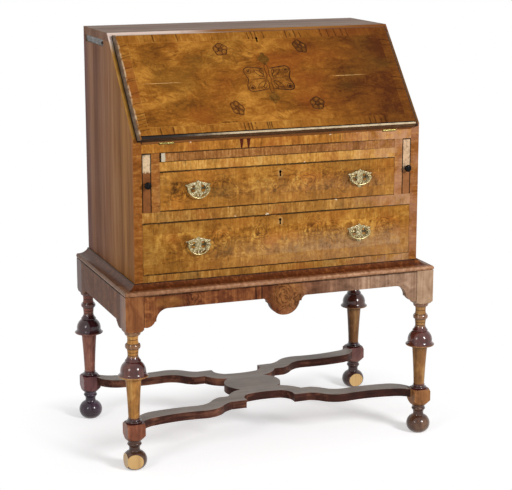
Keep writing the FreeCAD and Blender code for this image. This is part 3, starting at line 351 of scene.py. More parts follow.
def fall_finish():
    """Figured field in a crossbanded border, a moulded lip rubbed at its arris, and a plainer inner face."""
    f = Finish("fall_veneer", 0.05)
    x = f.x
    up, out = f.slope()
    middle = (FALL_LOW + FALL_HIGH) / 2
    from_side = FALL_HALF - abs(x)
    from_end = (FALL_HIGH - FALL_LOW) / 2 - abs(up - middle)
    nearest = from_side.low(from_end)
    ragged = f.flat(x, up, 40, 60, 5, 12, 0.6, 1.5)
    clouds = 0
    drift = x + (f.flat(x, up, 16, 22, 4, 15, 0.6) - 0.5) * 0.16
    lift = up + (f.flat(x, up, 16, 22, 4, 18, 0.6) - 0.5) * 0.09
    for centre, size, depth in FALL_CLOUDS:
        clouds = f.spot(drift, lift, metres(centre), metres(size)) * depth + clouds
    right = x.rise(-0.02, 0.34)
    figure = cloudy_figure(f, x, up, 3) - clouds * (ragged * 0.8 + 0.15) - right * 0.27 + 0.04
    field = (figure * 1.25 - 0.125).wood((66, 32, 11), (148, 91, 30), (216, 152, 64))
    field.lay((70, 38, 14), contour_lines(f, x, up, 9, 81) * 0.4)
    warm = f.flat(x, up, 6, 8, 2, 21)
    field.lay((150, 74, 28), warm.rise(0.48, 0.7) * 0.4)
    field.lay((98, 49, 20), right * 0.45)
    field.lay((118, 88, 34), warm.rise(0.48, 0.3) * 0.3)
    from_middle = abs(x + 0.03)
    joint = up.between(*FALL_JOINT, 0.0006) * from_middle.rise(0.19, 0.22) * from_middle.rise(0.31, 0.26)
    field.lay((222, 176, 112), joint * ragged.rise(0.3, 0.5) * 0.75)

    lean = f.flat(x, up, 30, 30, 2, 35) - 0.5
    broken = f.flat(x, up, 90, 70, 3, 36).rise(0.32, 0.5)
    shifted = x + lean * 0.004
    border_x = FALL_HALF - FALL_BAND - 0.004
    top_lines = f.bars(shifted + (up - 0.285) * 0.1, TOP_LINES, 0.0013) * (up > FALL_HIGH - FALL_BAND)
    low_lines = f.bars(shifted, LOW_LINES, 0.0014) * (up < FALL_LOW + FALL_BAND)
    right_lines = f.bars(up + (x - 0.345) * 0.18, RIGHT_LINES, 0.0012) * (x > border_x)
    left_lines = f.bars(up - (x + 0.345) * 0.22 + lean * 0.006, LEFT_LINES, 0.0013) * (x < -border_x)
    crack = x.between(-0.152, -0.111, 0.004) * (up + lean * 0.004).near(0.024, 0.0006, 0.0014)
    lines = (top_lines + low_lines + left_lines * 0.7) * broken + right_lines
    banding, dark = border_grain(f, x, up, from_end < from_side, 30)
    border = (banding - right * 0.24).wood((70, 34, 10), (158, 100, 36), (220, 164, 78))
    border.lay(field, right * 0.4 + 0.25)
    red = f.spot(x, up, (-0.352, 0.15), (0.03, 0.09)) + f.spot(x, up, (0.24, 0.282), (0.12, 0.02)) * 0.6
    border.lay((138, 66, 30), red * 0.45)
    border.lay((70, 36, 14), dark * 0.4)
    face = f.mix(border, field, nearest.rise(FALL_BAND - HAIR, FALL_BAND + HAIR))
    face.lay((58, 28, 11), (lines + crack).low(1) * 0.78)
    seam = nearest.between(FALL_BAND - 0.0005, FALL_BAND + 0.0006, 0.0006)
    face.lay((196, 138, 62), seam * ragged.rise(0.35, 0.6) * x.rise(0.2, -0.1) * 0.5)

    worn = f.noise(x * 60, up * 70, out * 160, 4, 61, 0.6)
    lip = worn.wood((46, 34, 26), (120, 98, 80), (200, 176, 150))
    # painted shade: the lip is darkened low down, in the quirk where it meets the case side
    lip.lay((22, 15, 11), out.rise(0.0082, 0.0056))
    lip.lay((44, 23, 11), x.rise(0.1, 0.3))
    # painted highlight: the top edge of the lip turns pale towards the left, where light falls on it
    top_lip_highlight = f.mix((120, 66, 30), (226, 202, 182), x.rise(0, -0.16))
    lip.lay(top_lip_highlight, up.rise(FALL_HIGH - 0.001, FALL_HIGH + 0.001) * (from_side > 0) * 0.85)
    grain = straight_grain(f, x, up, out, 50)
    inner = grain.wood((84, 48, 24), (130, 80, 42), (164, 108, 60))
    colour = f.mix(inner, lip, out > -0.001)
    colour.lay(face, out.rise(FALL_FACE - 0.001, FALL_FACE - 0.0003))
    arris = from_side.between(-0.0022, 0.0006, 0.0008) * x.rise(0, -0.1) * (out > 0.008)
    colour.lay((214, 184, 146), arris * worn.rise(0.42, 0.58) * 0.8)
    # painted shade: the walls of the keyhole are coloured near black
    key = f.spot(x, up, (0, FALL_KEY - 0.004), (0.009, 0.013)) * (out < FALL_FACE - 0.0004)
    colour.lay((20, 14, 12), key)
    relief = figure * 0.4 + f.noise(x * 300, up * 300, out * 300, 2, 70) * 0.3
    return f.done(colour, polish(f, figure, 0.4), relief)


# Knots in the figure of the drawers and the apron: centre (across, up) and reach in millimetres
KNOTS = {
    "upper": (((-140, 692), 40), ((-262, 690), 34), ((66, 692), 46),
              ((166, 686), 36), ((-12, 684), 30)),
    "lower": (((-150, 566), 46), ((-52, 580), 38), ((94, 572), 44),
              ((156, 556), 34), ((286, 560), 40)),
    "apron": (((2, 410), 50), ((30, 398), 30), ((-240, 436), 40)),
}
TAIL_PITCH = 0.034


def drawer_finish(level, key_drop, seed, pale, left):
    """Drawer front: matched figure with knots in a crossbanded border, and dovetails at its ends."""
    f = Finish(level + "_drawer_veneer", 0.05)
    x, y, z = f.place
    low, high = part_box(level + "_drawer_front")
    middle = (low[2] + high[2]) / 2
    from_side = (high[0] - low[0]) / 2 - abs(x)
    from_end = (high[2] - low[2]) / 2 - abs(z - middle)
    nearest = from_side.low(from_end)
    matched = abs(x - MATCH_X) * 0.8 + x * 0.15
    flame = f.flat(matched, z, 60, 15, 4, seed + 3, 0.6, 1.6)
    mottle = f.flat(x, z, 62, 56, 5, seed + 15, 0.65, 2.2)
    figure = cloudy_figure(f, matched, z, seed) + flame * 1.1 + mottle * 0.7 - 0.92
    field = (figure * 1.2 - 0.1).wood((58, 32, 9), (158, 102, 36), (222, 168, 78))
    specks = f.eyes(x * 30, z * 34, seed).rise(0.26, 0.08)
    field.lay((62, 36, 14), specks * mottle.rise(0.6, 0.42) * 0.8)
    field.lay((66, 36, 14), contour_lines(f, matched, z, 15, seed + 17) * 0.7)
    warm = f.flat(x, z, 8, 14, 2, seed + 9)
    field.lay((176, 98, 38), warm.rise(0.48, 0.68) * 0.5)
    field.lay((124, 92, 42), warm.rise(0.47, 0.3) * 0.35)
    banding, dark = border_grain(f, x, z, from_end < from_side, seed + 4)
    border = banding.wood((66, 36, 12), (157, 102, 38), (222, 170, 86))
    border.lay(field, 0.45)
    border.lay((70, 38, 18), dark * 0.65)
    face = f.mix(border, field, nearest.rise(DRAWER_BAND - HAIR, DRAWER_BAND + HAIR))
    broken = f.flat(x, z, 90, 90, 3, seed + 12)
    seam = nearest.between(DRAWER_BAND - 0.0005, DRAWER_BAND + 0.0005, 0.0008)
    face.lay((92, 50, 24), seam * broken.rise(0.5, 0.62) * 0.6)
    face.lay((78, 44, 17), swirls(f, x, z, KNOTS[level], seed + 23) * 0.62)
    face.shade(1 + x.rise(-0.12, -0.26) * left)
    # painted sheen: a pale greyish haze towards the lower right of the front, as much as the pale argument
    # gives
    painted_sheen = z.rise(middle + 0.03, low[2] + 0.03) * x.rise(-0.3, 0.2) * mottle.rise(0.2, 0.6)
    inside = nearest.rise(DRAWER_BAND - HAIR, DRAWER_BAND) * 0.5 + 0.5
    face.lay((166, 134, 102), painted_sheen * inside * pale)
    key_z = high[2] - key_drop
    rim = f.spot(x, z, (0, key_z - 0.004), (0.01, 0.016))
    face.lay((206, 164, 106), rim * broken.rise(0.4, 0.6) * 0.5)
    f.rub(face, (200, 152, 92), 0.0012, broken.rise(0.4, 0.58) * 0.5)
    # dark along the top and bottom edges, less to the right: dirt and painted shade of the gaps
    gap_dirt_and_shade = f.dirt_and_shade(from_end, 0.0018, seed + 21) * x.rise(0.36, 0.2)
    face.lay((30, 17, 9), gap_dirt_and_shade * 0.85)
    core = straight_grain(f, x, z, y, seed + 20).wood((126, 92, 58), (164, 126, 84), (190, 154, 108))
    tail_step = ((z - low[2]) / TAIL_PITCH).fract()
    flare = abs(tail_step - 0.5) - (y - FRONT - 0.013) * 9
    tails = flare.rise(0.29, 0.27) * (y > FRONT + 0.006) * (abs(x) > high[0] - HAIR)
    core.lay((112, 80, 48), tails * 0.7)
    # painted shade: the walls of the keyhole are coloured near black
    core.lay((20, 14, 10), rim)
    return f.done(f.veneered(face, core), polish(f, figure, 0.36), figure * 0.4 + broken * 0.2)


BED_PLUGS = ((-0.1022, 0.796), (-0.084, 0.795))


def front_edge_finish(name, node, seed, tones, painted_sheen):
    """Veneered front edge of a rail or a stile, its grain across it, on a plainer board."""
    f = Finish(name + "_veneer", 0.06)
    x, y, z = f.place
    low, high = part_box(node)
    upright = node == "loper_dividers"
    along, across = (z, x) if upright else (x, z)
    grain, dark = cross_grain(f, along, across, seed)
    edge = grain.wood(*tones)
    hue = f.flat(along, across, 12, 12, 3, seed + 14)
    edge.lay((152, 80, 32), hue.rise(0.5, 0.68) * 0.45)
    edge.lay((128, 104, 60), hue.rise(0.46, 0.3) * 0.4)
    rubbed = f.lumps(30, 4, seed + 6)
    edge.lay((62, 32, 13), dark * 0.65)
    # painted sheen: a pinkish pale haze towards the right
    edge.lay((184, 140, 112), x.rise(0.12, 0.37) * rubbed.rise(0.3, 0.6) * painted_sheen)
    for centre in BED_PLUGS if node == "bed_board" else ():
        spread = (z - centre[1]) * 0.14 + 0.003
        bar = x.near(centre[0], spread, spread + 0.0006)
        edge.lay((66, 9, 9), bar * rubbed.rise(0.26, 0.4) * 0.95)
    f.rub(edge, (210, 164, 104), 0.0012, rubbed.rise(0.45, 0.6) * 0.55)
    if not upright:
        gap = (high[2] - z).low(z - low[2])
        # dark along the top and bottom edges, less to the right: dirt and painted shade of the gaps
        edge.lay((34, 20, 11), f.dirt_and_shade(gap, 0.0016, seed + 9) * x.rise(0.34, 0.1) * 0.8)
        chips = f.noise(x * 70, 0, z * 90, 2, seed + 10).rise(0.68, 0.72) * gap.rise(0.006, 0.003)
        edge.lay((228, 206, 178), chips * 0.8)
    plain = straight_grain(f, x, y, z, seed + 3).wood((120, 86, 54), (158, 118, 78), (184, 146, 102))
    # painted shade: the board is near black just behind the front, where it is seen through the gaps
    plain.lay((26, 17, 11), y.rise(FRONT + 0.03, FRONT + 0.014) * 0.9)
    return f.done(f.veneered(edge, plain), polish(f, grain, 0.4), grain * 0.4 + rubbed * 0.2)


def side_finish():
    """Case side: upright grain outside, a crossgrained front edge, and a bare slope edge."""
    f = Finish("case_side_walnut", 0.02)
    x, y, z = f.place
    up, out = f.slope()
    grain = straight_grain(f, z, y, x, 5)
    warm = grain.wood((98, 56, 20), (156, 101, 45), (202, 144, 78))
    cool = grain.wood((92, 54, 34), (146, 97, 66), (184, 136, 104))
    outer = f.mix(warm, cool, y.rise(-0.16, 0.12))
    outer.lay((116, 84, 88), y.rise(0.17, 0.23) * 0.6)
    rubbed = f.lumps(24, 4, 9)
    outer.lay((170, 104, 58), y.rise(FRONT + 0.03, FRONT) * rubbed.rise(0.35, 0.6) * 0.5)
    stile, dark = cross_grain(f, z, x, 11)
    edge = stile.wood((66, 32, 12), (140, 83, 34), (202, 144, 76))
    edge.lay((72, 38, 20), dark * 0.5)
    # painted sheen: a pinkish pale haze on the front edge of the right side
    edge.lay((176, 130, 104), x.rise(0.2, 0.38) * rubbed.rise(0.3, 0.65) * 0.5)
    patch = f.flat(up, x, 26, 40, 3, 13)
    bare = patch.wood((108, 56, 28), (164, 118, 54), (206, 160, 96))
    bare.lay((232, 214, 198), up.rise(0.24, 0.3) * rubbed.rise(0.25, 0.5) * 0.85)
    bare.lay((98, 62, 30), x.rise(0, 0.1) * 0.8)
    edge.lay(bare, z > SLOPE_FOOT_Z)
    behind = (y - FRONT).high(0).low((0 - out).high(0) + (z < SLOPE_FOOT_Z))
    lining = grain.wood((116, 82, 52), (154, 116, 76), (182, 144, 100))
    colour = f.mix(lining, outer, abs(x).rise(SIDE_X - 0.002, SIDE_X - 0.001))
    colour.lay(edge, behind.rise(0.0008, 0.0003))
    f.rub(colour, (200, 146, 92), 0.0014, rubbed.rise(0.42, 0.6) * 0.55)
    return f.done(colour, polish(f, grain, 0.38), grain * 0.5 + rubbed * 0.2, 0.00025)


def top_finish():
    """Top board: a greyish top face, partly a painted sheen, and its slanted front edge paler towards the
    left, partly rubbed bare and partly a painted highlight.
    """
    f = Finish("top_board_walnut", 0.03)
    x, y, z = f.place
    out = f.slope()[1]
    grain = straight_grain(f, x, y, z, 15)
    rubbed = f.noise(x * 26, y * 40, z * 40, 4, 17)
    # the greyish tone of the top face is partly the wood and partly a painted sheen of the white surround
    top = grain.wood((92, 64, 44), (126, 92, 66), (152, 118, 90))
    ends = grain.wood((100, 62, 40), (136, 92, 62), (160, 118, 86))
    edge = grain.wood((110, 64, 28), (150, 96, 42), (182, 128, 66))
    # paler towards the left: partly rubbed bare, partly a painted highlight where light falls on the edge
    edge.lay((236, 214, 202), x.rise(-0.08, -0.22) * rubbed.rise(0.22, 0.45) * 0.9)
    edge.lay((112, 56, 28), x.rise(0.1, 0.35) * 0.7)
    colour = f.mix(ends, top, z.rise(TOP_Z - 0.001, TOP_Z - 0.0004))
    colour.lay(edge, out.rise(-0.0012, -0.0006))
    return f.done(colour, polish(f, grain, 0.36), grain * 0.5 + rubbed * 0.2, 0.00025)


# Heights on a turned leg
WAIST = (0.135, 0.24)
NECKS = ((0.294, 0.309), (0.323, 0.343))
BEADS = ((0.3105, 0.3215), (0.345, 0.3535), (0.289, 0.293))
GROOVES = (0.2935, 0.301, 0.3095, 0.3225, 0.3335, 0.344)
FOOT_RING = (0.124, 0.128)
TURNED = (0.121, 0.354)
BLOCK_LOW, LOW_BLOCK_HIGH = 0.3545, 0.1195


def turned_finish():
    """Legs: dark bells and rings, golden necks and columns, and veneered blocks. Each leg has its own tone."""
    f = Finish("turned_walnut", 0.12, Coat_Roughness=0.05)
    x, y, z = f.place
    grain = straight_grain(f, z, x, y, 23)
    mottle = f.noise(x * 34, y * 34, z * 22, 5, 27, 0.6, 0.8)
    figure = grain * 0.7 + mottle * 1.2 - 0.45
    at_back = y > 0
    at_right = x > 0
    golden = figure.wood((66, 32, 12), (182, 126, 62), (240, 194, 118))
    olive = figure.wood((46, 28, 16), (130, 87, 50), (184, 140, 88))
    purple = figure.wood((84, 44, 44), (146, 90, 82), (182, 130, 118))
    bare_wood = f.mix(golden, olive, at_right * 0.75)
    bare_wood.lay(f.mix(purple, olive, at_right), at_back * 0.85)
    dark = figure.wood((26, 9, 10), (80, 36, 31), (138, 78, 60))
    dark.lay(figure.wood((34, 14, 20), (70, 32, 38), (108, 60, 62)), at_back * (1 - at_right))
    block = figure.wood((66, 32, 16), (128, 76, 42), (178, 120, 70))
    # painted highlight: a pale pinkish tone on the blocks at the right
    block.lay(figure.wood((96, 66, 48), (170, 138, 110), (206, 176, 148)), x.rise(0.1, 0.3) * 0.9)
    block.lay(f.mix(dark, block, 0.35), at_back)
    low_left = figure.wood((62, 32, 24), (138, 82, 60), (186, 128, 98))
    low_block = f.mix(low_left, figure.wood((82, 50, 28), (150, 100, 60), (184, 136, 88)), at_right)
    low_block.lay(figure.wood((54, 34, 38), (108, 74, 78), (150, 112, 112)), at_back * 0.8)
    necks = sum(z.between(*neck, 0.002) for neck in NECKS)
    beads = sum(z.between(*bead, 0.001) for bead in BEADS)
    rings = sum((z.near(height, 0.0006, 0.0014) for height in GROOVES), z.between(*FOOT_RING, 0.001))
    bare = (z.between(*WAIST, 0.004) + necks).low(1)
    colour = f.mix(dark, bare_wood, bare)
    colour.lay(bare_wood, beads.low(1) * 0.45)
    # painted shade: dark lines in the grooves at the junctions of the turnings
    colour.lay((34, 16, 12), rings.low(1) * 0.65)
    colour.lay(block, z > BLOCK_LOW)
    colour.lay(low_block, z < LOW_BLOCK_HIGH)
    blocks = (z > 0.35) * 0.5 + (z < 0.12) * 0.4
    f.rub(colour, (196, 150, 108), 0.0016, mottle.rise(0.42, 0.6) * blocks)
    polished = z.between(*TURNED, 0.001)
    colour.shade(1 - at_back * at_right * (polished * (1 - bare) * 0.5 + 0.1))
    f.link(polished * (0.9 - bare * 0.72), "Coat Weight")
    return f.done(colour, 0.2 + mottle * 0.2 + bare * 0.12, grain * 0.4 + mottle * 0.2)


def feet_finish():
    """Ball feet: dark polish, with the pale bare flats where applied cheeks are gone."""
    f = Finish("ball_feet_walnut", 0.1, Coat_Weight=0.6, Coat_Roughness=0.06)
    x, y, z = f.place
    grain = straight_grain(f, z, x, y, 29)
    mottle = f.lumps(40, 4, 33)
    figure = grain * 0.5 + mottle * 0.9 - 0.2
    dark = figure.wood((14, 8, 14), (54, 38, 50), (120, 98, 112))
    brown = figure.wood((16, 8, 5), (86, 54, 35), (166, 124, 84))
    dark.lay(brown, y.rise(0, -0.1).high((x > 0) * 0.6) * 0.85)
    turned_lines = f.noise(0, 0, z * 320, 2, 34).rise(0.52, 0.62)
    colour = f.mix(dark, (150, 118, 72), turned_lines * z.rise(0.034, 0.014) * 0.6)
    bare = grain.wood((176, 128, 76), (218, 176, 112), (234, 200, 144))
    flats = 0
    for side, turn in ((-1, 12), (-1, 88), (1, 0)):
        dx, dy = x - side * LEG_X, y - side * LEG_Y
        reach = dx * -math.sin(math.radians(turn)) + dy * -math.cos(math.radians(turn))
        near = (abs(dx) < 0.05) * (abs(dy) < 0.05)
        flats = reach.rise(FOOT_FLAT - HAIR, FOOT_FLAT) * near + flats
    colour.lay(bare, flats.low(1))
    return f.done(colour, 0.18 + mottle * 0.14 + flats * 0.2, mottle)


def stretcher_finish():
    """Stretcher: greyish flat top and redder edges."""
    f = Finish("stretcher_walnut", 0.12)
    grain = straight_grain(f, f.x, f.y, f.z, 37)
    mottle = f.lumps(22, 4, 39)
    figure = grain * 0.7 + mottle * 0.9 - 0.3
    top = figure.wood((112, 102, 95), (148, 137, 129), (174, 165, 158))
    edge = figure.wood((20, 9, 8), (66, 35, 27), (154, 102, 78))
    colour = f.mix(edge, top, f.z.rise(STRETCHER_TOP - 0.0012, STRETCHER_TOP - 0.0005))
    f.rub(colour, (170, 126, 98), 0.0014, mottle.rise(0.4, 0.6) * 0.5)
    return f.done(colour, 0.34 + mottle * 0.2, grain * 0.5, 0.00025)


def apron_finish(name, along_x):
    """Aprons: leaves of upright veneer, warmer at the left, and paler at the right of the front, where a
    painted sheen is laid.
    """
    f = Finish(name, 0.04)
    x, y, z = f.place
    along = x if along_x else y
    grain = straight_grain(f, z, along, y, 43)
    leaf = f.leaf(along * 10 + 0.4, 3)
    mottle = f.flat(along, z, 34, 40, 5, 46, 0.62, 1.4)
    figure = grain * 0.7 + leaf * 0.16 + mottle * 0.9 - 0.4
    warm = figure.wood((34, 13, 8), (110, 61, 36), (186, 122, 70))
    pale = figure.wood((64, 42, 32), (158, 125, 101), (218, 190, 164))
    # painted sheen: the wood turns pale and pinkish towards the right
    colour = f.mix(warm, pale, x.rise(-0.05, 0.3) * 0.9)
    streak = f.flat(along, z, 90, 8, 3, 47).rise(0.58, 0.7)
    colour.lay((46, 22, 14), streak * abs(along + 0.1).rise(0.12, 0.02) * 0.6)
    if along_x:
        colour.lay((34, 18, 12), abs(x).near(APRON_JOINT_X, 0.0008, 0.0018) * 0.8)
        split = f.bars(x + (mottle - 0.5) * 0.003, APRON_SPLITS, 0.0014)
        colour.lay((24, 14, 16), split * 0.85)
        gold = f.spot(x, z, (-0.305, 0.424), (0.05, 0.018))
        gold = gold + f.spot(x, z, (0.008, 0.415), (0.055, 0.05))
        colour.lay(mottle.wood((66, 34, 16), (148, 96, 48), (196, 146, 88)), gold.low(1) * 0.6)
        colour.lay((50, 22, 13), swirls(f, x, z, KNOTS["apron"], 49) * 0.7)
    else:
        colour.lay((108, 76, 54), 0.4)
    rubbed = f.lumps(26, 4, 48)
    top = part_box("front_apron")[1][2]
    # dark along the top: dirt and painted shade under the moulding
    colour.lay((30, 16, 11), f.dirt_and_shade(top - z, 0.0035, 45) * 0.8)
    f.rub(colour, (186, 142, 104), 0.0012, rubbed.rise(0.45, 0.6) * 0.55)
    return f.done(colour, polish(f, figure, 0.36), figure * 0.5)


def moulding_finish(name, along_x):
    """Stand moulding: long grain, dark hollow, and a paler nose, partly rubbed and partly a painted highlight.
    """
    f = Finish(name, 0.08)
    x, y, z = f.place
    along, across = (x, y) if along_x else (y, x)
    grain = straight_grain(f, along, across, z, 53)
    rubbed = f.noise(x * 20, y * 20, z * 60, 4, 57)
    speck = f.noise(along * 120, across * 60, z * 90, 4, 58, 0.6)
    figure = grain * 0.5 + speck * 1.2 - 0.35
    hollow = figure.wood((28, 11, 5), (98, 50, 23), (180, 112, 60))
    nose = figure.wood((78, 44, 28), (158, 112, 80), (214, 172, 140))
    low, high = (corner[2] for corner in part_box("stand_moulding_front"))
    # the paler nose is partly rubbed wood and partly a painted highlight on its rounded edge
    colour = f.mix(nose, hollow, z.rise(low + NOSE_HEIGHT, low + NOSE_HEIGHT + 0.002))
    # dark along the top: dirt and painted shade in the crease under the case
    colour.lay((26, 13, 8), f.dirt_and_shade(high - z, 0.003, 59) * 0.85)
    if not along_x:
        colour.lay((104, 82, 68), 0.4)
    f.rub(colour, (182, 140, 104), 0.0014, rubbed.rise(0.42, 0.6) * 0.5)
    return f.done(colour, polish(f, grain, 0.34), grain * 0.5 + rubbed * 0.2)


NOSING_DEPTH = 0.017


def nosing_finish():
    """Reeded nosing: black quirks, which are painted shade; one pale reed by the face, which is a painted
    highlight, and a brown one under it.
    """
    f = Finish("fall_nosing_walnut", 0.06)
    x, y, z = f.place
    up, out = f.slope()
    reed = ((out - FALL_FACE + NOSING_DEPTH) / (NOSING_DEPTH / 3)).fract()
    face = out.rise(FALL_FACE - 0.0008, FALL_FACE - 0.0003)
    grain = straight_grain(f, x, z, y, 63)
    rubbed = f.noise(x * 40, y * 60, z * 60, 4, 67, 0.6)
    wood = (grain * 0.5 + rubbed * 0.5).wood((40, 24, 14), (98, 66, 40), (168, 124, 84))
    # painted shade: the quirks between the reeds are near black
    wood.lay((15, 11, 9), abs(reed - 0.5).rise(0.22, 0.36) * 0.95)
    # painted highlight: the reed by the face is pale towards the right, with near-black quirks above and below
    # it as painted shade
    pale = rubbed.wood((92, 76, 52), (204, 182, 148), (242, 230, 206))
    pale = f.mix((64, 56, 52), pale, (x + (rubbed - 0.5) * 0.12).rise(-0.26, -0.1))
    strip = f.mix((18, 13, 10), pale, up.rise(FALL_LOW - 0.0024, FALL_LOW - 0.0038))
    strip.lay((18, 13, 10), up.rise(FALL_LOW - 0.0078, FALL_LOW - 0.0088))
    colour = f.mix(wood, strip, face)
    colour.lay((26, 22, 22), x.rise(-0.22, -0.34) * 0.6)
    return f.done(colour, 0.4 + rubbed * 0.1, grain)


def loper_finish(side, pale, brown, split):
    """Loper: bare pale wood at the top of its front end, brown below."""
    def scaled(colour, share):
        return tuple(min(255, v * share) for v in colour)

    f = Finish(side + "_loper_wood", 0.06)
    x, y, z = f.place
    low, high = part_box("loper_" + side)
    grain = straight_grain(f, y, z, x, 73)
    specks = f.noise(x * 140, y * 40, z * 90, 5, 77, 0.65)
    upper = (specks * 2 - 0.5).wood(scaled(pale, 0.4), pale, scaled(pale, 1.12))
    lower = (grain * 0.5 + specks * 0.5).wood(scaled(brown, 0.62), brown, scaled(brown, 1.2))
    level = low[2] + (high[2] - low[2]) * split
    front = f.mix(lower, upper, (z + (specks - 0.5) * 0.03).rise(level - 0.004, level + 0.004))
    # painted shade: the front is near black along its sides and top, by the gaps
    gap = (x - low[0]).low(high[0] - x).low(high[2] - z)
    front.lay((20, 13, 9), gap.rise(0.0026, 0.0012) * 0.92)
    rest = grain.wood((118, 82, 50), (158, 116, 74), (186, 148, 102))
    return f.done(f.veneered(front, rest), 0.42 + specks * 0.15, grain * 0.5)


def slide_finish():
    """Writing slide: crossgrained front strip with a chipped pale left end, a pale board behind."""
    f = Finish("writing_slide_walnut", 0.06)
    x, y, z = f.place
    low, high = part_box("writing_slide")
    grain, dark = cross_grain(f, x, z, 83)
    edge = grain.wood((58, 28, 12), (144, 92, 44), (210, 156, 94))
    edge.lay((58, 32, 16), dark * 0.65)
    rubbed = f.noise(x * 60, y * 30, z * 90, 4, 87)
    # painted sheen: a pinkish pale haze towards the right
    edge.lay((166, 116, 86), x.rise(0.05, 0.3) * rubbed.rise(0.4, 0.65) * 0.5)
    edge.lay((70, 36, 18), x.near(SLIDE_JOINT_X, 0.0006, 0.0014) * 0.7)
    gap = (high[2] - z).low(z - low[2])
    # dark along the top and bottom edges, less to the right: dirt and painted shade of the gaps
    edge.lay((34, 20, 11), f.dirt_and_shade(gap, 0.0016, 88) * x.rise(0.34, 0.1) * 0.8)
    end = (x + (rubbed - 0.5) * 0.006).rise(low[0] + 0.015, low[0] + 0.0125)
    edge.lay((196, 186, 162), end * 0.9)
    # painted shade: the first few millimetres of the left end are near black, where a dark slot shows
    edge.lay((16, 11, 9), x.rise(low[0] + 0.0034, low[0] + 0.0026))
    f.rub(edge, (200, 152, 98), 0.001, rubbed.rise(0.45, 0.6) * 0.45)
    board = straight_grain(f, x, y, z, 89).wood((124, 88, 54), (164, 124, 82), (190, 152, 108))
    return f.done(f.veneered(edge, board), polish(f, grain, 0.36), grain * 0.4)


def lining_finish(name, along, tones, seed):
    """Plain board of a drawer lining, the back or the nest."""
    f = Finish(name, 0.2)
    x, y, z = f.place
    axes = {"x": (x, y, z), "y": (y, x, z), "z": (z, x, y)}
    grain = straight_grain(f, *axes[along], seed)
    stain = f.lumps(7, 4, seed + 4)
    colour = grain.wood(*tones)
    colour.shade(0.8 + stain * 0.4)
    return f.done(colour, 0.5 + stain * 0.2, grain, 0.0003)


def brass_finish(name, dull, middle, bright, painted_shade_spots=False):
    """Old brass: pale where it is rubbed, and on a handle plate, dark brown spots of painted shade beside its
    leaf, inside the bail.
    """
    f = Finish(name, Metallic=0.9)
    patch = f.lumps(220, 4, 91, 0.6)
    fine = f.lumps(900, 2, 93)
    colour = (patch * 0.8 + fine * 0.2).ramp((0.3, dull), (0.5, middle), (0.68, bright))
    if painted_shade_spots:
        # painted shade: dark spots on the plate beside its leaf, inside the bail
        dx = abs(abs(abs(f.x) - HANDLE_X) - SHADE_SPOT_X)
        for level in PIVOT_Z.values():
            colour.lay((46, 38, 22), f.spot(dx, f.z, (0, level - 0.004), (0.0085, 0.0105)) * 0.85)
    return f.done(colour, 0.24 + patch * 0.2, patch * 0.7 + fine * 0.3)


def iron_finish(name, dark, middle, light):
    """Dark iron or worn steel."""
    f = Finish(name, Metallic=0.7)
    patch = f.lumps(160, 5, 95, 0.65)
    colour = patch.ramp((0.35, dark), (0.55, middle), (0.72, light))
    return f.done(colour, 0.32 + patch * 0.3, patch, 0.0004)


def ebony_finish():
    """Black polish of the small knobs."""
    f = Finish("ebonised_knob", 0.05, Coat_Weight=0.12, Coat_Roughness=0.05)
    patch = f.lumps(240, 4, 97)
    colour = patch.ramp((0.35, (5, 4, 4)), (0.6, (16, 12, 11)), (0.75, (50, 38, 32)))
    return f.done(colour, 0.16 + patch * 0.2, patch)


def inlay_finish(name, tones, seed):
    """Small pieces of inlaid wood, golden at the left of the fall and redder at the right."""
    f = Finish(name, 0.05)
    x, y, z = f.place
    grain = f.noise(x * 260, y * 700, z * 700, 3, seed)
    cloud = f.noise(x * 60, y * 80, z * 80, 3, seed + 1)
    colour = ((grain * 0.5 + cloud * 0.5).rise(0.3, 0.7) - x.rise(-0.03, 0.06) * 0.25).wood(*tones)
    return f.done(colour, 0.36 + cloud * 0.12, grain, 0.0001)


OAK = ((120, 86, 52), (162, 124, 80), (190, 154, 108))
PINE = ((112, 82, 56), (150, 116, 82), (178, 146, 108))
BROWN = ((84, 50, 28), (132, 84, 46), (166, 112, 66))
RAIL = ((66, 36, 12), (158, 107, 44), (222, 172, 96))
# Front edges: finish, board, seed, tones and share of painted sheen
FRONT_EDGES = (
    ("mid_rail", "drawer_dustboard", 101, RAIL, 0.6),
    ("low_rail", "bottom_board", 103, RAIL, 0.6),
    ("slide_rail", "slide_dustboard", 105, ((82, 46, 16), (188, 132, 58), (240, 196, 116)), 0.6),
    ("bed_edge", "bed_board", 111, ((72, 36, 10), (166, 106, 38), (226, 168, 82)), 0.8),
    ("divider", "loper_dividers", 121, ((76, 38, 16), (148, 91, 40), (206, 150, 84)), 0.5),
)
# Plain boards: finish, way of the grain, tones, seed and words in the names of the boards
LININGS = (
    ("back_rail_wood", "x", PINE, 161, "back_rail"),
    ("back_board_wood", "z", PINE, 165, "back_boards"),
    ("drawer_side_oak", "y", OAK, 169, "_drawer_sides"),
    ("drawer_back_oak", "x", OAK, 173, "_drawer_back", "_drawer_bottom"),
    ("nest_walnut", "x", BROWN, 177, "nest_shelf", "nest_drawer_"),
    ("nest_divider_walnut", "z", BROWN, 181, "nest_dividers"),
)


def dress(material, *words):
    """Gives a finish to each solid with one of the words in its name."""
    for name, node in nodes.items():
        if any(word in name for word in words):
            node.data.materials.clear()
            node.data.materials.append(material)


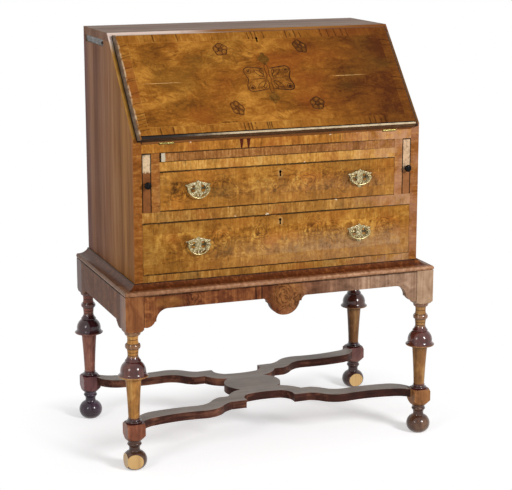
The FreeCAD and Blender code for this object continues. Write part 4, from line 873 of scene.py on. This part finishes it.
def dress_desk():
    """Gives each solid of the desk its finish."""
    dress(fall_finish(), "fall_board")
    dress(nosing_finish(), "fall_nosing")
    dress(side_finish(), "side_left", "side_right")
    dress(top_finish(), "top_board")
    for name, board, *rest in FRONT_EDGES:
        dress(front_edge_finish(name, board, *rest), board)
    dress(drawer_finish("upper", 0.0165, 131, 0.2, 0.2), "upper_drawer_front")
    dress(drawer_finish("lower", 0.013, 151, 0.62, -0.16), "lower_drawer_front")
    dress(loper_finish("left", (206, 178, 142), (132, 80, 42), 0.68), "loper_left")
    dress(loper_finish("right", (200, 166, 132), (142, 92, 54), 0.45), "loper_right")
    dress(slide_finish(), "writing_slide")
    dress(turned_finish(), "leg_")
    dress(feet_finish(), "ball_feet")
    dress(stretcher_finish(), "stretcher_")
    dress(apron_finish("front_apron_veneer", True), "front_apron")
    dress(apron_finish("side_apron_veneer", False), "side_apron_")
    dress(moulding_finish("front_moulding_walnut", True), "moulding_front")
    dress(moulding_finish("side_moulding_walnut", False), "moulding_left", "moulding_right")
    for name, along, tones, seed, *words in LININGS:
        dress(lining_finish(name, along, tones, seed), *words)
    plate = brass_finish("handle_brass", (62, 54, 32), (160, 144, 102), (242, 232, 202), painted_shade_spots=True)
    bail = brass_finish("bail_brass", (92, 78, 46), (172, 154, 106), (230, 216, 176))
    hinge = brass_finish("hinge_brass", (70, 64, 34), (134, 122, 66), (196, 182, 120))
    strap = iron_finish("strap_steel", (36, 34, 33), (112, 109, 105), (186, 182, 176))
    lock = iron_finish("lock_iron", (34, 28, 26), (72, 64, 60), (112, 98, 88))
    dress(plate, "_handle_")
    dress(bail, "_bail_")
    dress(hinge, "_hinge_leaves", "nest_knob_")
    dress(strap, "side_strap")
    dress(lock, "strap_stud", "_lock")
    dress(ebony_finish(), "loper_knob_")


def added(name, data):
    """A new object in the scene."""
    thing = bpy.data.objects.new(name, data)
    bpy.context.scene.collection.objects.link(thing)
    return thing


# Trees that lay small things along paths and on points
class Tree(Maker):
    """A Geometry Nodes tree with named inputs, which ends in one plain mesh of one material."""

    def __init__(self, name, *sizes, **kinds):
        super().__init__(bpy.data.node_groups.new(name, "GeometryNodeTree"))
        face = self.tree.interface
        face.new_socket("Geometry", in_out="OUTPUT", socket_type="NodeSocketGeometry")
        face.new_socket("Geometry", in_out="INPUT", socket_type="NodeSocketGeometry")
        kinds = {**dict.fromkeys(sizes, "Float"), **kinds, "Material": "Material"}
        self.keys = {key: face.new_socket(key, in_out="INPUT", socket_type="NodeSocket" + kind).identifier
                     for key, kind in kinds.items()}
        self.entry = self.tree.nodes.new("NodeGroupInput")
        self.given = self.take("Geometry")

    def take(self, name):
        return Value(self, self.entry.outputs[name])

    def smooth_path(self):
        """The given edges as smooth curves with even points."""
        path = self.node("GeometryNodeMeshToCurve", {}, {"Mesh": self.given})
        path = self.node("GeometryNodeCurveSplineType", {"spline_type": "CATMULL_ROM"}, {"Curve": path})
        path = self.node("GeometryNodeResampleCurve", {"mode": "LENGTH"},
                         {"Curve": path, "Length": self.take("Spacing")})
        return self.node("GeometryNodeSetCurveNormal", {"mode": "Z_UP"}, {"Curve": path})

    def swept(self, path, profile):
        """A profile carried along a path, its ends closed."""
        return self.node("GeometryNodeCurveToMesh", {},
                         {"Curve": path, "Profile Curve": profile, "Fill Caps": True})

    def joined(self, *parts):
        return self.node("GeometryNodeJoinGeometry", {}, {"Geometry": list(parts)})

    def close(self, geometry):
        whole = self.node("GeometryNodeRealizeInstances", {}, {"Geometry": geometry})
        dressed = self.node("GeometryNodeSetMaterial", {},
                            {"Geometry": whole, "Material": self.take("Material")})
        self.node("NodeGroupOutput", {}, {0: dressed})
        return self

    def grow(self, name, source, place, body, slot, **values):
        """Runs the tree on a source mesh and makes the result a piece of the desk."""
        seed = added(name + "_source", source)
        growth = seed.modifiers.new("growth", "NODES")
        growth.node_group = self.tree
        for key, value in values.items():
            growth[self.keys[key]] = value
        graph = bpy.context.evaluated_depsgraph_get()
        mesh = bpy.data.meshes.new_from_object(seed.evaluated_get(graph))
        bpy.data.objects.remove(seed)
        mesh.transform(place)
        mesh.name = name
        piece = added(name, mesh)
        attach(piece, body)


def line_tree():
    """Flat lines of inlay along paths."""
    tree = Tree("inlay_lines", "Width", "Depth", "Spacing")
    strip = tree.node("GeometryNodeCurvePrimitiveQuadrilateral", {"mode": "RECTANGLE"},
                      {"Width": tree.take("Width"), "Height": tree.take("Depth")})
    return tree.close(tree.swept(tree.smooth_path(), strip))


def bead_tree():
    """Raised round beads along paths, as chased on metal, with small pearls strung on them."""
    tree = Tree("chased_beads", "Radius", "Spacing", "Pearl", "Pitch")
    path = tree.smooth_path()
    ring = tree.node("GeometryNodeCurvePrimitiveCircle", {"mode": "RADIUS"},
                     {"Resolution": 6, "Radius": tree.take("Radius")})
    places = tree.node("GeometryNodeCurveToPoints", {"mode": "LENGTH"},
                       {"Curve": path, "Length": tree.take("Pitch")})
    pearl = tree.node("GeometryNodeMeshIcoSphere", {}, {"Radius": tree.take("Pearl"), "Subdivisions": 2})
    pearls = tree.node("GeometryNodeInstanceOnPoints", {}, {"Points": places, "Instance": pearl})
    return tree.close(tree.joined(tree.swept(path, ring), pearls))


def panel_tree():
    """Thin flat panels of inlay inside closed paths."""
    tree = Tree("inlay_panels", "Depth", "Spacing")
    flat = tree.node("GeometryNodeFillCurve", {"mode": "NGONS"}, {"Curve": tree.smooth_path()})
    plate = tree.node("GeometryNodeExtrudeMesh", {"mode": "FACES"},
                      {"Mesh": flat, "Offset Scale": tree.take("Depth"), "Individual": False})
    under = tree.node("GeometryNodeFlipFaces", {}, {"Mesh": flat})
    return tree.close(tree.joined(plate, under))


def fastening_tree():
    """Heads of screws or nails on points, each facing the way its point says and turned at random."""
    tree = Tree("fastenings", Head="Object", Seed="Int")
    facing = tree.node("GeometryNodeInputNamedAttribute", {"data_type": "FLOAT_VECTOR"}, {"Name": "facing"})
    turn = tree.node("FunctionNodeAlignRotationToVector", {"axis": "Z"}, {"Vector": facing})
    spin = tree.node("FunctionNodeRandomValue", {"data_type": "FLOAT"},
                     {2: 0, 3: 3.14, "Seed": tree.take("Seed")}, 1)
    about = tree.node("FunctionNodeAxisAngleToRotation", {}, {"Axis": (0, 0, 1), "Angle": spin})
    turn = tree.node("FunctionNodeRotateRotation", {"rotation_space": "LOCAL"},
                     {"Rotation": turn, "Rotate By": about})
    head = tree.node("GeometryNodeObjectInfo", {}, {"Object": tree.take("Head")}, "Geometry")
    return tree.close(tree.node("GeometryNodeInstanceOnPoints", {},
                                {"Points": tree.given, "Instance": head, "Rotation": turn}))


def plain_mesh(name, points, edges=(), faces=()):
    mesh = bpy.data.meshes.new(name)
    mesh.from_pydata(points, edges, faces)
    return mesh


def paths_mesh(name, paths):
    """Edges through points given in millimetres. A path whose ends meet is closed."""
    points, edges = [], []
    for path in paths:
        closed = path[0] == path[-1]
        start = len(points)
        own = path[:-1] if closed else path
        points += [(a / 1000, b / 1000, 0) for a, b in own]
        edges += [(start + k, start + k + 1) for k in range(len(own) - 1)]
        if closed:
            edges.append((len(points) - 1, start))
    return plain_mesh(name + "_paths", points, edges)


def points_mesh(name, places):
    """Bare points with the direction that each faces."""
    mesh = plain_mesh(name + "_points", [place for place, facing in places])
    attribute = mesh.attributes.new("facing", "FLOAT_VECTOR", "POINT")
    for item, (place, facing) in zip(attribute.data, places):
        item.vector = facing
    return mesh


def around(centre, radius, angle):
    """A point round a centre."""
    return centre[0] + radius * math.cos(angle), centre[1] + radius * math.sin(angle)


def ring(radius, angles, height):
    return [(*around((0, 0), radius, angle), height) for angle in angles]


def loft(name, *stacks):
    """Object made of stacks of rings: each ring is joined to the next, and the ends are closed."""
    points, faces = [], []
    for rings in stacks:
        base, sides = len(points), len(rings[0])
        top = base + sides * (len(rings) - 1)
        points += sum(rings, [])
        faces += [(row + k, row + (k + 1) % sides, row + sides + (k + 1) % sides, row + sides + k)
                  for row in range(base, top, sides) for k in range(sides)]
        faces.append(tuple(range(top, top + sides)))
        if top > base:
            faces.append(tuple(reversed(range(base, base + sides))))
    return bpy.data.objects.new(name, plain_mesh(name, points, (), faces))


def screw_head(radius, height, slot):
    """Two half rounds with a slot between them on a lower floor."""
    reach = math.acos(slot / radius)
    arc = [-reach + 2 * reach * k / 7 for k in range(8)]
    halves = [[ring(side, arc, 0), ring(side, arc, height)] for side in (radius, -radius)]
    long = math.sqrt(radius ** 2 - slot ** 2)
    floor = [(x, y, height / 4) for x, y in ((-slot, -long), (slot, -long), (slot, long), (-slot, long))]
    return loft("screw_head", *halves, [floor])


def nail_head(*levels):
    """Seven-sided hammered head, from levels of radius and height."""
    angles = [2 * math.pi * k / 7 for k in range(7)]
    return loft("nail_head", [ring(radius, angles, height) for radius, height in levels])


FALL_PLACE = Matrix.Translation((0, FRONT, SLOPE_FOOT_Z)) @ Matrix.Rotation(SLOPE, 4, "X")

# Marquetry of the fall, in millimetres from its middle: one quarter, and the upright spindle
MARQUETRY_AT = (3, 146)
QUARTER_FRAME = ((9, 31), (22, 33), (40, 36), (53, 36), (61, 29), (61, 19), (57, 8), (55, 0))
QUARTER_LEAF = ((11, 7), (16, 19), (24, 25), (34, 27), (30, 17), (22, 10), (11, 7))
QUARTER_PETAL = ((12, 13), (11, 22), (17, 29), (19, 22), (12, 13))
SPINDLE = ((0, 46), (4, 38), (5, 28), (3, 10), (6, 0), (3, -10), (5, -28), (4, -38), (0, -44),
           (-4, -38), (-5, -28), (-3, -10), (-6, 0), (-3, 10), (-5, 28), (-4, 38), (0, 46))
FINIALS = (((0, 42), (9, 50), (15, 58), (12, 68), (6, 70), (3, 79), (-4, 79), (-7, 70), (-14, 67),
            (-15, 56), (-8, 50), (0, 42)),
           ((0, -40), (9, -48), (14, -56), (11, -65), (5, -68), (2, -75), (-4, -75), (-7, -67), (-13, -64),
            (-14, -54), (-8, -48), (0, -40)))
BAR = ((10, 0), (24, 1), (40, 0))
# Each rosette: place, its two reaches and how it is turned
ROSETTES = (((-104, 240), (19.5, 19.5), 20), ((111, 241), (22.5, 16.5), -55), ((-101, 63), (23, 16), -66),
            ((112, 66), (19.5, 19.5), 12))
VOLUTE_EYE = (49.5, 25)


def placed(path, across=1, up=1):
    """A path about the middle of the marquetry, perhaps mirrored, placed on the fall."""
    return tuple((MARQUETRY_AT[0] + across * x, MARQUETRY_AT[1] + up * u) for x, u in path)


def quarters(*paths):
    """Paths of one quarter in all four."""
    return [placed(path, a, b) for path in paths for a in (1, -1) for b in (1, -1)]


def volute():
    """Small spiral at the corner of the marquetry."""
    steps = 14
    return tuple(around(VOLUTE_EYE, 9 - 6.5 * k / steps, 0.4 - 2.9 * math.pi * k / steps)
                 for k in range(steps + 1))


def lobed(reach, lobes, wave, centre=(0, 0)):
    """Closed path round a centre, with lobes."""
    steps = 30
    rounds = [2 * math.pi * k / steps for k in range(steps)]
    path = [around(centre, reach * (1 + wave * math.cos(lobes * a)), a) for a in rounds]
    return tuple(path + path[:1])


def on_rosettes(*paths):
    """Paths of a rosette of reach 1, laid out on each of the rosettes."""
    laid = []
    for (x, u), (wide, tall), turn in ROSETTES:
        c, s = around((0, 0), 1, math.radians(turn))
        laid += [tuple((x + wide * a * c - tall * b * s, u + wide * a * s + tall * b * c) for a, b in path)
                 for path in paths]
    return laid


def lay_marquetry():
    """Lines, panels and rosettes let into the fall."""
    dark = inlay_finish("marquetry_dark_lines", ((52, 26, 10), (84, 46, 18), (112, 66, 28)), 201)
    gold = inlay_finish("marquetry_light_wood", ((104, 60, 20), (150, 94, 34), (188, 130, 54)), 205)
    brown = inlay_finish("marquetry_brown_wood", ((82, 46, 16), (122, 74, 27), (158, 106, 44)), 213)
    olive = inlay_finish("marquetry_olive_wood", ((76, 48, 15), (114, 74, 26), (146, 99, 40)), 209)
    face = FALL_PLACE @ Matrix.Translation((0, 0, FALL_FACE))
    strips, panels = line_tree(), panel_tree()

    def lay(name, tree, wood, paths, depth, spacing, **sizes):
        tree.grow(name, paths_mesh(name, paths), face, "fall", "walnut",
                  Depth=depth * INLAY, Spacing=spacing, Material=wood, **sizes)

    lines = quarters(volute(), QUARTER_LEAF, QUARTER_PETAL) + [placed(SPINDLE), placed(BAR), placed(BAR, -1)]
    fields = quarters(QUARTER_FRAME + ((8, 1), (6, 12), (9, 31)))
    finials = [placed(path) for path in FINIALS]
    lay("fall_marquetry_lines", strips, dark, lines, 2.6, 0.0012, Width=0.0017)
    lay("fall_marquetry_frame", strips, dark, quarters(QUARTER_FRAME), 2.4, 0.0014, Width=0.0029)
    lay("fall_marquetry_fields", panels, gold, fields, 0.3, 0.0016)
    lay("fall_marquetry_leaves", panels, gold, quarters(QUARTER_LEAF, QUARTER_PETAL), 0.6, 0.0012)
    lay("fall_marquetry_finials", panels, olive, finials, 0.6, 0.0016)
    lay("fall_marquetry_eyes", panels, dark, quarters(lobed(3.4, 3, 0.1, VOLUTE_EYE)), 1, 0.001)
    rim, heart = lobed(0.93, 5, 0.07), lobed(0.26, 5, 0.15)
    middle = (0, 0)
    fifths = [2 * math.pi * (k + 0.5) / 5 for k in range(5)]
    ribs = [(around(middle, 0.28, a), around(middle, 0.55, a + 0.3), around(middle, 0.86, a)) for a in fifths]
    seeds = [lobed(0.17, 2, 0.2, around(middle, 0.62, a + 0.7)) for a in fifths]
    lay("fall_rosette_petals", panels, brown, on_rosettes(rim), 0.6, 0.0012)
    lay("fall_rosette_seeds", panels, gold, on_rosettes(*seeds), 1.2, 0.0008)
    lay("fall_rosette_lines", strips, dark, on_rosettes(rim, heart, *ribs), 2.6, 0.001, Width=0.0021)


# Chasing of a handle plate, in millimetres from its pivot height: right half of the rim, a leaf and its rib
PLATE_RIM = ((0, 15.6), (4, 12.6), (10, 10.9), (20, 7.9), (28, 5.4), (26.3, 1.2), (25.6, -4), (22.6, -11.5),
             (14, -17.6), (9.2, -20.2), (5.6, -24.6), (0, -28.2))
PLATE_LEAF = ((0, 12.4), (3.4, 6), (4.2, 0), (3.2, -8), (4.4, -14), (2.2, -19), (0, -24))
PLATE_RIB = ((0, 12.4), (0, 4), (0, -6), (0, -16), (0, -24))


def mirrored(path):
    """A right half joined to its mirror image as one closed path."""
    return path + tuple((-x, z) for x, z in reversed(path[:-1]))


def chase_handles():
    """Beads chased on the handle plates of both drawers."""
    brass = brass_finish("chased_brass", (80, 70, 42), (188, 172, 128), (250, 244, 222))
    tree = bead_tree()
    paths = [tuple((side * 1000 + x, h) for x, h in path) for side in (-HANDLE_X, HANDLE_X)
             for path in (mirrored(PLATE_RIM), mirrored(PLATE_LEAF), PLATE_RIB)]
    for level, z in PIVOT_Z.items():
        name = level + "_handle_chasing"
        place = Matrix.Translation((0, PLATE_FACE, z)) @ Matrix.Rotation(math.pi / 2, 4, "X")
        tree.grow(name, paths_mesh(name, paths), place, level + "_drawer", "brass",
                  Radius=0.00055, Spacing=0.0012, Pearl=0.00085, Pitch=0.0031, Material=brass)


# Places of the screws in hinges and locks
HINGE_SHIFTS = (-0.012, 0, 0.012)
HINGE_UP = 0.0028
LOCK_SCREW_X = (-0.031, 0.031)
FALL_LOCK_UP = (0.2564, 0.2804)


def fasten():
    """Screws of the hinges and locks, and nails of the back boards."""
    screw = screw_head(0.0026, 0.0005, 0.0004)
    nail = nail_head((0.0032, 0), (0.0034, 0.0003), (0.0022, 0.0009), (0.0008, 0.0012))
    brass = brass_finish("screw_brass", (70, 62, 34), (140, 126, 74), (190, 176, 118))
    iron = iron_finish("nail_iron", (30, 26, 24), (66, 56, 50), (104, 88, 76))
    tree = fastening_tree()
    upward, backward = (0, 0, 1), (0, 1, 0)
    inward = FALL_PLACE.to_3x3() @ Vector((0, 0, -1))

    def fix(name, places, body, slot, head, seed, metal):
        tree.grow(name, points_mesh(name, places), Matrix(), body, slot, Head=head, Seed=seed, Material=metal)

    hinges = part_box("bed_hinge_leaves")
    hinge_x = hinges[1][0] - 0.018
    leaf_y, leaf_z = hinges[1][1] - 0.006, hinges[0][2] + 0.003
    across = [x + shift for x in (-hinge_x, hinge_x) for shift in HINGE_SHIFTS]
    on_fall = [(x, HINGE_UP) for x in across] + [(x, up) for x in LOCK_SCREW_X for up in FALL_LOCK_UP]
    bed = [((x, leaf_y, leaf_z), upward) for x in across]
    fall = [(FALL_PLACE @ Vector((x, up, FALL_INSIDE)), inward) for x, up in on_fall]
    fix("bed_hinge_screws", bed, "case_and_stand", "brass", screw, 3, brass)
    fix("fall_screws", fall, "fall", "brass", screw, 5, brass)
    for level in ("upper", "lower"):
        low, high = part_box(level + "_drawer_lock")
        lock = [((x, high[1], z), backward) for x in LOCK_SCREW_X for z in (low[2] + 0.005, high[2] - 0.005)]
        fix(level + "_lock_screws", lock, level + "_drawer", "iron", screw, 7, iron)
    low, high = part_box("back_boards")
    pitch = (high[0] - low[0]) / 4
    rows = (low[2] + 0.010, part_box("drawer_dustboard")[1][2] - 0.006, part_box("bed_board")[1][2] - 0.010,
            high[2] - 0.008)
    nails = [((low[0] + (k + share) * pitch, high[1], z), backward)
             for k in range(4) for share in (0.12, 0.5, 0.88) for z in rows]
    fix("back_board_nails", nails, "case_and_stand", "iron", nail, 11, iron)
    for head in (screw, nail):
        bpy.data.objects.remove(head)


WHITE = (1, 1, 1, 1)
PAPER = (0.9, 0.9, 0.91, 1)
AMBIENT = 0.24  # light of the surround on the desk
FLOOR_LIFT = 0.46  # glow of the paper beside the desk's shadow
SHADOW_REACH = 0.22  # how far from the legs the paper turns white
FLOOR_HALF = 9
LIGHT_AIM = Vector((0, 0, 0.55))
SOFT_LIGHTS = (
    ("left_softbox", (-2.8, -2.0, 1.8), (0.9, 1.2), 26),
    ("right_softbox", (1.6, -3.4, 2.2), (0.9, 1.2), 110),
)


def seen_directly(maker):
    """1 for what the camera sees, also in metal and glass."""
    path = maker.node("ShaderNodeLightPath", {}, {}, "Is Camera Ray")
    return path.high(path.also("Is Glossy Ray")).high(path.also("Is Transmission Ray"))


def studio():
    """Pale floor, white surround, two soft front lights, and the camera of the photograph's angle."""
    scene = bpy.context.scene
    scene.view_settings.view_transform = "Standard"
    world = bpy.data.worlds.new("studio_surround")
    scene.world = world
    world.use_nodes = True
    fill = world.node_tree.nodes["Background"]
    fill.inputs["Color"].default_value = WHITE
    strength = seen_directly(Maker(world.node_tree)) * (1 - AMBIENT) + AMBIENT
    world.node_tree.links.new(strength.socket, fill.inputs["Strength"])

    corners = [(-FLOOR_HALF, -FLOOR_HALF, 0), (FLOOR_HALF, -FLOOR_HALF, 0),
               (FLOOR_HALF, FLOOR_HALF, 0), (-FLOOR_HALF, FLOOR_HALF, 0)]
    mesh = plain_mesh("studio_floor", corners, (), [(0, 1, 2, 3)])
    floor = added("studio_floor", mesh)
    paper = Finish("studio_paper", 0, Base_Color=PAPER, Roughness=1, Emission_Strength=1)
    direct = seen_directly(paper)
    paper.link(direct * FLOOR_LIFT, "Emission Color")
    matt = Value(paper, paper.surface.outputs[0])
    glow = paper.node("ShaderNodeEmission", {}, {"Color": WHITE, "Strength": 1})
    beside = (abs(paper.x) - LEG_X).high(0)
    before = (abs(paper.y) - LEG_Y).high(0)
    far = (beside * beside + before * before).root()
    both = paper.node("ShaderNodeMixShader", {}, {0: direct * far.rise(0, SHADOW_REACH), 1: matt, 2: glow})
    paper.tree.links.new(both.socket, paper.tree.nodes["Material Output"].inputs["Surface"])
    mesh.materials.append(paper.material)

    for name, place, size, watts in SOFT_LIGHTS:
        light = bpy.data.lights.new(name, "AREA")
        light.shape = "RECTANGLE"
        light.size, light.size_y = size
        light.energy = watts
        lamp = added(name, light)
        lamp.location = place
        lamp.rotation_euler = (LIGHT_AIM - Vector(place)).to_track_quat("-Z", "Y").to_euler()

    camera = added("photo_camera", bpy.data.cameras.new("photo_camera"))
    camera.data.sensor_width = 36
    camera.data.lens = 110.83
    camera.location = (-1.4261, -3.7776, 1.4003)
    camera.rotation_euler = (math.radians(90 - 12.663), 0, math.radians(-20.828))
    scene.camera = camera


dress_desk()
lay_marquetry()
chase_handles()
fasten()
studio()
